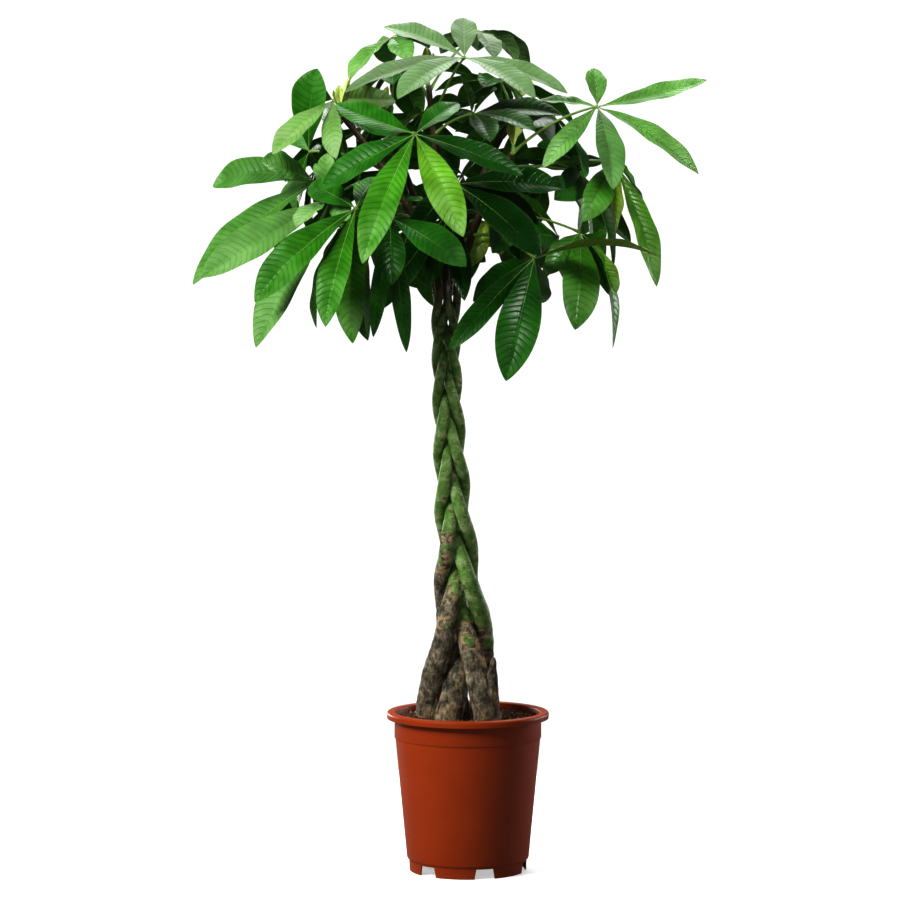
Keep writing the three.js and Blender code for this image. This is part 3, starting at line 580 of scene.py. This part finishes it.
def above(tree, value, limit):
    """Whether a value is over a limit."""
    return out_of(tree, "FunctionNodeCompare", {0: value, 1: limit},
                  data_type="FLOAT", operation="GREATER_THAN")


def at_random(tree, low, high, seed):
    """A random vector for each point."""
    return out_of(tree, "FunctionNodeRandomValue", {"Min": low, "Max": high, "Seed": seed},
                  data_type="FLOAT_VECTOR")


def joined(tree, *parts):
    """Several geometries as one."""
    both = add_node(tree, "GeometryNodeJoinGeometry")
    for part in parts:
        tree.links.new(part, both.inputs[0])
    return both.outputs[0]


# Peat compost: nearly black, matt and crumbly, with brown fibres
compost, tree = new_finish("peat_compost")
clod = noise(tree, object_place(tree), 190.0, 6.0, 0.7)
coated(tree, {"Base Color": ramp(tree, clod, (0.35, "#1c1510"), (0.66, "#946c47")), "Roughness": 0.95,
              "Normal": bumped(tree, clod, 0.004, 1.0)})

# Perlite and sand grains: dull, pale, broken
perlite, tree = new_finish("perlite_grain")
pore = noise(tree, object_place(tree), 700.0)
coated(tree, {"Base Color": mixed(tree, pore, "#8f7c66", "#d8cbb4"), "Roughness": 0.9})

tree, given, keys = new_tree("poured_compost", {
    "Crumbs per square metre": "Float", "Crumb": "Float", "Hollows": "Float", "Seed": "Int",
    "Compost": "Material", "Grain": "Material"})
where = out_of(tree, "GeometryNodeInputPosition")
on_top = above(tree, part_of(tree, where, "Z"), SOIL_TOP - 0.0004)
rise = ranged(tree, noise(tree, where, 60.0, 5.0), (0.3, 0.7), (-1.0, 1.0))
lift = out_of(tree, "ShaderNodeCombineXYZ", {"Z": times(tree, rise, given["Hollows"])})
ground = out_of(tree, "GeometryNodeSetPosition",
                {"Geometry": given["Geometry"], "Selection": on_top, "Offset": lift})
upward = above(tree, part_of(tree, out_of(tree, "GeometryNodeInputNormal"), "Z"), 0.5)
scatter = out_of(tree, "GeometryNodeDistributePointsOnFaces",
                 {"Mesh": ground, "Selection": upward, "Density": given["Crumbs per square metre"],
                  "Seed": given["Seed"]})
ball = out_of(tree, "GeometryNodeMeshIcoSphere", {"Radius": 1.0, "Subdivisions": 1})
turned = at_random(tree, (0, 0, 0), (6.28, 6.28, 6.28), TURN_SEED)
shape = at_random(tree, LEAST_CRUMB, MOST_CRUMB, SHAPE_SEED)
crumbs = out_of(tree, "GeometryNodeInstanceOnPoints",
                {"Points": scatter, "Instance": ball, "Rotation": turned,
                 "Scale": scaled(tree, shape, given["Crumb"])})
drawn = add_node(tree, "FunctionNodeRandomValue", {"Probability": PALE_SHARE, "Seed": PALE_SEED},
                 data_type="BOOLEAN")
marked = out_of(tree, "GeometryNodeStoreNamedAttribute",
                {"Geometry": crumbs, "Name": "pale", "Value": drawn.outputs[3]},
                data_type="BOOLEAN", domain="INSTANCE")
end_tree(tree, joined(tree, marked, ground), given["Compost"],
         stored(tree, "pale", "BOOLEAN"), given["Grain"])

# The fill's section: close rings on top, then down the wall and across the floor
rings = [(r, SOIL_TOP) for r in np.linspace(0.003, SOIL_EDGE_R - 0.001, TOP_RINGS)]
rings += [(SOIL_EDGE_R, SOIL_TOP - 0.001), (SOIL_EDGE_R, STEP_Z + 0.0024),
          (WALL_R_AT_STEP - WALL - 0.0006, STEP_Z - 0.0004),
          (WALL_R_AT_FOOT - WALL - 0.0008, FLOOR_Z + 0.0065),
          (WALL_R_AT_FOOT - WALL - 0.0048, FLOOR_Z + 0.0024)]
points = [(0, 0, SOIL_TOP)]
for r, z in rings:
    points += [(r * math.cos(math.tau * i / SOIL_SIDES), r * math.sin(math.tau * i / SOIL_SIDES), z)
               for i in range(SOIL_SIDES)]
points.append((0, 0, FLOOR_Z + 0.0024))
faces = [(0, 1 + i, 1 + (i + 1) % SOIL_SIDES) for i in range(SOIL_SIDES)]
for k in range(len(rings) - 1):
    a, b = 1 + k * SOIL_SIDES, 1 + (k + 1) * SOIL_SIDES
    faces += [(a + i, b + i, b + (i + 1) % SOIL_SIDES, a + (i + 1) % SOIL_SIDES) for i in range(SOIL_SIDES)]
last = 1 + (len(rings) - 1) * SOIL_SIDES
faces += [(last + i, len(points) - 1, last + (i + 1) % SOIL_SIDES) for i in range(SOIL_SIDES)]
soil = new_piece("potting_compost", points, [], faces)
grow(soil, tree, keys, {
    "Crumbs per square metre": CRUMBS_PER_M2, "Crumb": CRUMB, "Hollows": HOLLOWS, "Seed": SCATTER_SEED,
    "Compost": compost, "Grain": perlite})
finished(soil)
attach(soil, "root")
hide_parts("soil")


# The leaves. Each is a long green stalk with up to six leaflets that meet at one knob. A leaflet is a thin
# waxy blade, folded a little along its pale midrib and quilted between its side veins. Where each starts,
# bends and ends, and how wide and folded it is, are read from the leaf's solid, and one blank leaflet is bent
# to fit each.
VEIN_SPACING = 0.0082
BLADE_THICK, BLADE_STARTS, TWIST_MOST = 0.0005, 0.0015, 0.14
CUP_RISE, CUP_EASE = 1.45, -0.55
MARGIN_WAVE, MARGIN_WAVES, WAVE_LAG = 0.0012, 19.0, 1.3

# The side veins: how much they bow, how far they lag behind the midrib, and how much they wander
VEIN_BOW, VEIN_LAG, VEIN_WANDER = 0.7, -0.95, 0.9

# The midrib's rod: its radius at the start, sides, steps and end, and how much it tapers and sinks in
RIB_R, RIB_SIDES, RIB_STEPS, RIB_ENDS = 0.0009, 6, 16, 0.97
RIB_TAPER, RIB_SUNK = 0.72, 0.25

# The stalk: where the arch pulls it up and how far, as shares of its length, its radius at the knob, how much
# thicker it is at the stem, and its swellings at the stem and at the knob, each with a length
STALK_SIDES, STALK_STEPS = 8, 15
ARCH_AT, ARCH_UP = 0.45, 0.16
STALK_R, STALK_THICKER = 0.0014, 0.0006
STEM_SWELL, STEM_SWELL_LONG = 0.0012, 0.012
KNOB_SWELL, KNOB_SWELL_LONG = 0.0013, 0.008

# How a leaf's solid is read: how close its points crowd at the knob, and how near its middle; how far off it
# the stalk and the leaflets' tips lie; how long a leaflet's sides are at least
CROWD, KNOB_R = 0.005, 0.0045
STALK_CLEAR, TIP_CLEAR = 0.012, 0.02
SHORTEST_SIDE = 0.009

# Where along a solid leaflet its width is read, and the blade's share of its full width there
READ_AT = 0.76
SHAPE_THERE = 0.81

# How light each leaf's green is, from 0, old and dark, to 1, new and yellow. It stands partly for age and
# partly for
# painted shade and painted light: the leaves deep in the crown are painted darkest. Leaves not listed lie
# between two tones, and the leaflets of a leaf differ a little.
TONES_AND_PAINTED_SHADE = {"leaf_01": 0.42, "leaf_02": 0.35, "leaf_03": 0.30, "leaf_04": 0.58, "leaf_05": 0.55, "leaf_06": 0.60,
         "leaf_07": 0.26, "leaf_08": 0.44, "leaf_09": 0.62, "leaf_10": 0.54, "leaf_11": 0.74, "leaf_12": 0.68,
         "leaf_13": 0.0, "leaf_14": 0.30, "leaf_15": 0.04, "leaf_16": 0.08, "leaf_17": 0.46, "leaf_18": 0.95}
OTHER_TINTS, TINT_SPREAD = (0.15, 0.4), 0.07

# Leaflets lighter or darker than the rest of their leaf, by where each ends: near this point, this tone. It
# is partly age and partly painted shade and painted light for how each leaflet turns to the lamps.
ODD_LEAFLETS = [
    ((-0.007, -0.241, 0.827), 0.76), ((0.186, 0.080, 0.821), 0.97), ((0.190, 0.005, 0.751), 0.86),
    ((-0.131, -0.240, 0.794), 0.60), ((0.068, -0.185, 0.903), 0.12), ((0.293, -0.080, 0.907), 0.66),
    ((0.188, 0.000, 0.683), 0.50), ((0.246, 0.020, 0.763), 0.70), ((-0.145, -0.165, 0.694), 0.66),
    ((0.238, -0.130, 0.803), 0.96), ((-0.185, -0.164, 0.887), 0.36), ((0.180, -0.155, 0.886), 0.42),
    ((-0.159, -0.070, 1.010), 0.16), ((-0.166, 0.050, 0.927), 0.66)]
ODD_REACH = 0.03

# How much grey wax bloom and painted sheen lies on each leaf: it roughens the blade and paints a grey sheen
# that stands in for the reflection of the lamp overhead, most on the top leaves
BLOOM_AND_PAINTED_SHEEN = {"leaf_02": 0.38, "leaf_03": 0.44, "leaf_16": 0.07, "leaf_12": 0.14, "leaf_04": 0.18, "leaf_09": 0.22,
         "leaf_10": 0.12, "leaf_11": 0.32}

# The most painted sheen that the pale tip of a young leaflet has
MOST_PAINTED_TIP_SHEEN = 0.42

# Leaflet blade: living tissue under wax. The upper face is a clear green, darker near the knob with age and
# painted shade, with a painted pale sheen towards the tip; the side veins lie in furrows painted dark as
# painted shade, and between them the blade swells and carries a painted sheen. The lower face is paler and
# duller.
blade, tree = new_finish("waxy_leaf_blade")
flat = add_node(tree, "ShaderNodeSeparateXYZ", {0: out_of(tree, "ShaderNodeUVMap", uv_map="blade")}).outputs
across = maths(tree, "ABSOLUTE", maths(tree, "MULTIPLY_ADD", flat["Y"], 2.0, -1.0))
tint, upper, bloom = told(tree, "tint"), told(tree, "upper"), told(tree, "bloom")
place = object_place(tree)
count = times(tree, flat["X"], told(tree, "vein_pairs"))
sweep = maths(tree, "MULTIPLY_ADD", times(tree, across, across), VEIN_BOW, across)
lagging = maths(tree, "MULTIPLY_ADD", sweep, VEIN_LAG, count)
phase = maths(tree, "MULTIPLY_ADD", noise(tree, place, 38.0), VEIN_WANDER, lagging)
wave = maths(tree, "SINE", times(tree, phase, math.pi))
quilt = maths(tree, "ABSOLUTE", wave)
# The furrows of the side veins are painted dark: painted shade in the creases
furrow_shade = ranged(tree, quilt, (0.15, 0), (0, 0.5), smooth=True)
cloud = noise(tree, place, 34.0, 4.0)
uneven = ranged(tree, cloud, (0.32, 0.68), (0.7, 1.24))
# The dark end of this ramp also serves as painted shade for the leaves deep in the crown
toned = ramp(tree, tint, (0.0, "#083204"), (0.35, "#1f6a06"), (0.65, "#4a9a10"), (0.85, "#82bd22"),
             (1.0, "#b0d63a"))
# Darker near the knob and lighter towards the tip, partly age and partly painted shade; a little darker in
# the vein furrows, also painted shade
shade = times(tree, uneven, ranged(tree, flat["X"], (0.1, 0.95), (0.72, 1.32)))
shaded = times(tree, shade, ranged(tree, quilt, to=(0.95, 1.02)))
green = mixed(tree, 1.0, toned, shaded, "MULTIPLY")
# A painted sheen: pale towards the tip and in the swollen fields between the veins, more on lighter leaflets
tip = ranged(tree, flat["X"], (0.4, 1.0), (0, 0.85), smooth=True)
painted_field_sheen = ranged(tree, quilt, (0.3, 1.0), (0, 0.15), smooth=True)
pale = maths(tree, "ADD", tip, painted_field_sheen)
patchy = ranged(tree, cloud, (0.38, 0.62), (0.2, 1.4))
sheen_by_tone = times(tree, patchy, times(tree, tint, tint))
painted_tip_sheen = maths(tree, "MINIMUM", times(tree, pale, sheen_by_tone), MOST_PAINTED_TIP_SHEEN)
# The painted sheen and the bloom together, which paint the blade towards a pale grey-green
sheen_and_bloom = maths(tree, "ADD", painted_tip_sheen, bloom, use_clamp=True)
with_painted_furrows = mixed(tree, furrow_shade, mixed(tree, sheen_and_bloom, green, "#a2b88c"), "#174a08")
tone = mixed(tree, upper, mixed(tree, 0.35, with_painted_furrows, "#5f8f35"), with_painted_furrows)
rough = ranged(tree, upper, to=(0.62, ranged(tree, bloom, to=(0.3, 0.62))))
furrow = ranged(tree, quilt, (0, 0.38), smooth=True)
rounded = maths(tree, "MULTIPLY_ADD", quilt, 0.55, furrow)
swell = maths(tree, "MULTIPLY_ADD", noise(tree, place, 150.0, 0.0), 0.35, rounded)
coated(tree, {"Base Color": tone, "Roughness": rough, "Normal": bumped(tree, swell, 0.0005, 0.6), "IOR": 1.45,
              "Specular IOR Level": 0.38})

# Leaf stalk and midrib: a smooth juicy skin, lighter and yellower than the blade
stalk_skin, tree = new_finish("green_stalk")
streak = noise(tree, object_place(tree), 120.0, 3.0)
coated(tree, {"Base Color": mixed(tree, streak, "#649239", "#98bb62"), "Roughness": 0.42,
              "Normal": bumped(tree, streak, 0.0004, 0.4)})

# The blank leaflet, as places: how far along the midrib each point lies, how far across, how wide the blade
# is there, and how far off its middle plane the point lies. The midrib is a thin rod through the blade.
BASE_TAPER, TIP_TAPER = 1.3, 0.86
ACROSS = [-1, -0.86, -0.62, -0.36, -0.13, 0, 0.13, 0.36, 0.62, 0.86, 1]
ALONG = [0.025, 0.05, 0.08, 0.12, 0.16, 0.2, 0.25, 0.3, 0.35, 0.4, 0.45, 0.5, 0.55, 0.6, 0.65, 0.7, 0.75, 0.8,
         0.84, 0.88, 0.915, 0.945, 0.97, 0.988]

# A leaflet's course, as its point stores it: where it starts, bends and ends, and which way is across
COURSE = ("starts", "bends", "ends", "across_way")

# How much thicker than life the blank is drawn before it is bent to its real thickness
BLANK_THICKER = 200


def vectors(tree, operation, *terms):
    """The result of a sum on vectors."""
    return out_of(tree, "ShaderNodeVectorMath", dict(enumerate(terms)), operation=operation)


def part_way(tree, share, first, second):
    """The point a share of the way from one point to another."""
    made = add_node(tree, "ShaderNodeMix", {0: share, 4: first, 5: second}, data_type="VECTOR")
    return made.outputs[1]


def width_at(t):
    """The blade's half width as a share of its widest: a long wedge at first, then round, then a point."""
    widest = BASE_TAPER / (BASE_TAPER + TIP_TAPER)
    most = widest ** BASE_TAPER * (1 - widest) ** TIP_TAPER
    return max(0.02, t ** BASE_TAPER * (1 - t) ** TIP_TAPER / most)


def bands(first, rows, around):
    """Faces between rings of points."""
    made = []
    for k in range(rows - 1):
        a, b = first + k * around, first + (k + 1) * around
        made += [(a + i, a + (i + 1) % around, b + (i + 1) % around, b + i) for i in range(around)]
    return made


# Each place: along, across, share of the width, off sideways, off upwards, upper face, rib
places = [(0, 0, 0.02, 0, 0, 0.5, 0)]
half_ring = len(ACROSS)
for t in ALONG:
    for a in ACROSS:
        places.append((t, a, width_at(t), 0, BLADE_THICK / 2 * (1 - a * a), 0.5 if abs(a) == 1 else 1, 0))
    for a in ACROSS[-2:0:-1]:
        places.append((t, a, width_at(t), 0, -BLADE_THICK / 2 * (1 - a * a), 0, 0))
places.append((1, 0, 0, 0, 0, 0.5, 0))
ring = 2 * half_ring - 2
end = 1 + (len(ALONG) - 1) * ring
faces = [(0, 1 + (i + 1) % ring, 1 + i) for i in range(ring)]
faces += bands(1, len(ALONG), ring)
faces += [(end + i, end + (i + 1) % ring, end + ring) for i in range(ring)]
rib_start = len(places)
for t in np.linspace(0, RIB_ENDS, RIB_STEPS):
    r = RIB_R * (1 - RIB_TAPER * t)
    for i in range(RIB_SIDES):
        angle = math.tau * i / RIB_SIDES
        places.append((t, 0, 0, r * math.cos(angle), r * math.sin(angle) - RIB_SUNK * r, 1, 1))
faces += bands(rib_start, RIB_STEPS, RIB_SIDES)
faces.append(tuple(rib_start + i for i in range(RIB_SIDES))[::-1])
faces.append(tuple(len(places) - RIB_SIDES + i for i in range(RIB_SIDES)))

blank = new_piece("blank_leaflet", [(p[0], p[1], BLANK_THICKER * p[4]) for p in places], [], faces)
for column, label in enumerate(("along", "across", "share", "sideways", "upwards", "upper", "rib")):
    store(blank, label, [p[column] for p in places])
uv = blank.data.uv_layers.new(name="blade")
for loop in blank.data.loops:
    along, side = places[loop.vertex_index][0], places[loop.vertex_index][1]
    uv.data[loop.index].uv = (along, 0.5 + 0.5 * side)
creased = blank.data.attributes.new("sharp_edge", "BOOLEAN", "EDGE")
margin = {1 + k * ring + j for k in range(len(ALONG)) for j in (0, half_ring - 1)} | {0, end + ring}
for edge in blank.data.edges:
    creased.data[edge.index].value = set(edge.vertices) <= margin
for face in blank.data.polygons:
    face.use_smooth = True

leaf_tree, given, leaf_keys = new_tree("palmate_leaf", {
    "Leaflet": "Object", "Margin wave": "Float", "Waves": "Float", "Stalk sides": "Int", "Blade": "Material",
    "Stalk": "Material"})
tree = leaf_tree
read = {label: stored(tree, label) for label in (
    "leaflet", "half_width", "fold", "twist", "wave_start", "stalk_radius", "along", "across", "share",
    "sideways", "upwards", "rib")}
starts, bends, ends, across_way = [stored(tree, label, "FLOAT_VECTOR") for label in COURSE]
parts = add_node(tree, "GeometryNodeSeparateGeometry",
                 {"Geometry": given["Geometry"], "Selection": above(tree, read["leaflet"], 0.5)},
                 domain="POINT").outputs
pattern = add_node(tree, "GeometryNodeObjectInfo", {"Object": given["Leaflet"]}).outputs["Geometry"]
copies = out_of(tree, "GeometryNodeInstanceOnPoints", {"Points": parts["Selection"], "Instance": pattern})
real = out_of(tree, "GeometryNodeRealizeInstances", {0: copies})
first = part_way(tree, read["along"], starts, bends)
second = part_way(tree, read["along"], bends, ends)
rib_point = part_way(tree, read["along"], first, second)
ahead = vectors(tree, "NORMALIZE", vectors(tree, "SUBTRACT", second, first))
twisted = times(tree, read["twist"], read["along"])
aside = out_of(tree, "ShaderNodeVectorRotate", {"Vector": across_way, "Axis": ahead, "Angle": twisted},
               rotation_type="AXIS_ANGLE")
wide = times(tree, read["half_width"], read["share"])
level = maths(tree, "COSINE", read["fold"])
steep = maths(tree, "SINE", read["fold"])
out_by = times(tree, wide, read["across"])
out_flat = maths(tree, "MULTIPLY_ADD", out_by, level, read["sideways"])
reach = maths(tree, "ABSOLUTE", read["across"])
squared = times(tree, reach, reach)
rising = times(tree, reach, CUP_RISE)
cupped = maths(tree, "MULTIPLY_ADD", squared, CUP_EASE, rising)
raised = times(tree, cupped, steep)
raised_by = maths(tree, "MULTIPLY_ADD", raised, wide, read["upwards"])
waves = times(tree, read["along"], given["Waves"])
shifted = maths(tree, "MULTIPLY_ADD", read["across"], WAVE_LAG, read["wave_start"])
ripple = maths(tree, "SINE", maths(tree, "ADD", waves, shifted))
edge_only = times(tree, ripple, squared)
eased = times(tree, edge_only, read["share"])
waved_by = maths(tree, "MULTIPLY_ADD", eased, given["Margin wave"], raised_by)
to_side = vectors(tree, "ADD", rib_point, scaled(tree, aside, out_flat))
spot = vectors(tree, "ADD", to_side, scaled(tree, vectors(tree, "CROSS_PRODUCT", aside, ahead), waved_by))
bent = out_of(tree, "GeometryNodeSetPosition", {"Geometry": real, "Position": spot})
line = out_of(tree, "GeometryNodeMeshToCurve", {0: parts["Inverted"]})
rod = tube_along(tree, line, given["Stalk sides"], read["stalk_radius"])
rod_smooth = out_of(tree, "GeometryNodeSetShadeSmooth", {"Geometry": rod})
rod_marked = out_of(tree, "GeometryNodeStoreNamedAttribute",
                    {"Geometry": rod_smooth, "Name": "rib", "Value": 1.0}, data_type="FLOAT", domain="POINT")
end_tree(tree, joined(tree, bent, rod_marked), given["Blade"],
         above(tree, read["rib"], 0.5), given["Stalk"])


def leaflets_of(node, shortest):
    """The knob, leaflets and points of a leaf's solid. Each leaflet is its start, bend, end, way across, half
    width and fold."""
    solid = merged(node)
    spots = np.array([list(v.co) for v in solid.verts])
    crowd = (np.linalg.norm(spots[:, None] - spots[None], axis=2) < CROWD).sum(axis=1)
    near = spots[np.linalg.norm(spots - spots[crowd.argmax()], axis=1) < KNOB_R]
    knob = Vector((near.min(axis=0) + near.max(axis=0)) / 2)
    found = []
    for vert in solid.verts:
        around = [edge.other_vert(vert).co.copy() for edge in vert.link_edges]
        if len(around) != 4 or min((p - vert.co).length for p in around) < shortest:
            continue
        if (vert.co - knob).length < TIP_CLEAR:
            continue
        right, left = max(((p, q) for p in around for q in around),
                          key=lambda pair: (pair[0] - pair[1]).length)
        middle = [p for p in around if p is not right and p is not left]
        rib = sum(middle, Vector()) / len(middle)
        end = vert.co.copy()
        start = knob + (end - knob).normalized() * BLADE_STARTS
        bend = (rib - start * (1 - READ_AT) ** 2 - end * READ_AT ** 2) / (2 * READ_AT * (1 - READ_AT))
        ahead = ((bend - start) * (1 - READ_AT) + (end - bend) * READ_AT).normalized()
        way = right - left
        way = (way - ahead * way.dot(ahead)).normalized()
        raised = (right + left) / 2 - rib
        if way.cross(ahead).dot(raised) < 0:
            way = -way
        flat = (right - left).length / 2
        fold = math.atan2(raised.length, flat)
        found.append((start, bend, end, way, math.hypot(flat, raised.length) / SHAPE_THERE, fold))
    solid.free()
    return knob, found, spots


def stem_point_near(spots):
    """The point of a stem's centre line that is closest to these points."""
    best = (1e9, None)
    for line, radii in stem_lines.values():
        gaps = np.linalg.norm(spots[:, None] - line[None], axis=2) - radii[None]
        i, j = np.unravel_index(gaps.argmin(), gaps.shape)
        if gaps[i, j] < best[0]:
            best = (gaps[i, j], Vector(line[j]))
    return best[1]


def before_growth(name, stalk, radii, found, more):
    """A stalk's points, then one for each leaflet, with what the leaf's tree reads from them."""
    points = stalk + [leaflet[0] for leaflet in found]
    piece = new_piece(name, [tuple(p) for p in points], [(i, i + 1) for i in range(len(stalk) - 1)])
    store(piece, "stalk_radius", radii + [0] * len(found))
    rows = {"leaflet": [1] * len(found), "fold": [leaflet[5] for leaflet in found], **more}
    for label, numbers in rows.items():
        store(piece, label, [0] * len(stalk) + numbers)
    for column, label in enumerate(COURSE):
        kept = piece.data.attributes.new(label, "FLOAT_VECTOR", "POINT")
        course = [(0.0, 0.0, 0.0)] * len(stalk) + [tuple(leaflet[column]) for leaflet in found]
        kept.data.foreach_set("vector", [c for vector in course for c in vector])
    return piece


chance = random.Random(41)
leaves = []
for name in sorted(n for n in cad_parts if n.startswith("leaf_")):
    knob, found, spots = leaflets_of(name, SHORTEST_SIDE)
    foot = stem_point_near(spots[np.linalg.norm(spots - np.array(knob), axis=1) > STALK_CLEAR])
    run = knob - foot
    arch = foot + run * ARCH_AT + Vector((0, 0, ARCH_UP * run.length))
    stalk, radii = [], []
    for t in np.linspace(0, 1, STALK_STEPS):
        stalk.append(foot * (1 - t) ** 2 + arch * 2 * t * (1 - t) + knob * t * t)
        at_stem = max(0, 1 - t * run.length / STEM_SWELL_LONG)
        at_knob = max(0, 1 - (1 - t) * run.length / KNOB_SWELL_LONG)
        radii.append(STALK_R + STALK_THICKER * (1 - t) + STEM_SWELL * at_stem + KNOB_SWELL * at_knob)
    # Each leaf's and leaflet's tone holds painted shade and painted light as well as age
    leaf_tone = TONES_AND_PAINTED_SHADE.get(name, chance.uniform(*OTHER_TINTS))
    leaflet_tones = []
    for leaflet in found:
        odd = [odd_tone for spot, odd_tone in ODD_LEAFLETS if (Vector(spot) - leaflet[2]).length < ODD_REACH]
        leaflet_tones.append(odd[0] if odd else min(1, max(0, leaf_tone + chance.uniform(-TINT_SPREAD, TINT_SPREAD))))
    leaf = before_growth("palmate_" + name, stalk, radii, found, {
        "half_width": [leaflet[4] for leaflet in found],
        "twist": [chance.uniform(-TWIST_MOST, TWIST_MOST) for _ in found],
        "wave_start": [chance.uniform(0, 6.28) for _ in found],
        "tint": leaflet_tones,
        "bloom": [BLOOM_AND_PAINTED_SHEEN.get(name, 0)] * len(found),
        "vein_pairs": [round((leaflet[2] - leaflet[0]).length / VEIN_SPACING) for leaflet in found],
    })
    grow(leaf, leaf_tree, leaf_keys, {
        "Leaflet": blank, "Margin wave": MARGIN_WAVE, "Waves": MARGIN_WAVES, "Stalk sides": STALK_SIDES,
        "Blade": blade, "Stalk": stalk_skin})
    leaves.append((leaf, name))
for leaf, name in leaves:
    finished(leaf)
    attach(leaf, "root")
    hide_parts(name)


# The new growth. At the tip of each stem the youngest leaflets are still folded shut along their midribs,
# soft and yellow-green, on a short green neck.
BUD_SHORTEST_SIDE = 0.006
BUD_FULLER = 1.3
BUD_MARGIN_WAVE, BUD_MARGIN_WAVES = 0.0004, 18.0

# The neck: how far below the solid it starts, and its radius at shares of its height
NECK_BELOW = 0.004
NECK = {0: 0.0034, 0.35: 0.003, 0.7: 0.0026, 1: 0.0018}

# Smaller sheaths close round the two folded leaflets: how many, how far down the neck they start, where the
# first one stands, how they lean, how long, wide and folded they are, and how much they bow
SIDE_SHEATHS, SHEATH_FROM, FIRST_SHEATH_RAD = 5, 0.4, 0.6
SHEATH_LEANS, SHEATH_LENGTHS = (0.08, 0.42), (0.03, 0.044)
SHEATH_HALF_WIDTH, SHEATH_FOLD, SHEATH_BOW = 0.0052, 0.7, 0.006

# New leaf: soft and downy, pale yellow-green, not yet waxy
young, tree = new_finish("soft_new_leaf")
cloud = noise(tree, object_place(tree), 80.0, 3.0)
coated(tree, {"Base Color": mixed(tree, cloud, "#b4d052", "#e4ec9c"), "Roughness": 0.5,
              "Normal": bumped(tree, cloud, 0.001, 0.4)})

buds = []
for name in sorted(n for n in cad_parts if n.startswith("bud_")):
    knob, found, _ = leaflets_of(name, BUD_SHORTEST_SIDE)
    neck = Vector((knob.x, knob.y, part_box(name)[0].z - NECK_BELOW))
    for turn in range(SIDE_SHEATHS):
        angle = math.tau * turn / SIDE_SHEATHS + FIRST_SHEATH_RAD
        lean = chance.uniform(*SHEATH_LEANS)
        start = knob.lerp(neck, SHEATH_FROM)
        away = Vector((math.cos(angle) * lean, math.sin(angle) * lean, 1)).normalized()
        end = start + away * chance.uniform(*SHEATH_LENGTHS)
        bend = start.lerp(end, 0.5) + Vector((0, 0, SHEATH_BOW))
        way = Vector((-math.sin(angle), math.cos(angle), 0))
        found.append((start, bend, end, way, SHEATH_HALF_WIDTH, SHEATH_FOLD))
    stalk = [neck.lerp(knob, share) for share in NECK]
    bud = before_growth("folded_" + name, stalk, list(NECK.values()), found, {
        "half_width": [BUD_FULLER * leaflet[4] for leaflet in found],
        "twist": [0] * len(found),
        "wave_start": [0] * len(found),
    })
    grow(bud, leaf_tree, leaf_keys, {
        "Leaflet": blank, "Margin wave": BUD_MARGIN_WAVE, "Waves": BUD_MARGIN_WAVES,
        "Stalk sides": STALK_SIDES, "Blade": young, "Stalk": stalk_skin})
    buds.append((bud, name))
for bud, name in buds:
    finished(bud)
    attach(bud, "root")
    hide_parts(name)
bpy.data.objects.remove(blank)
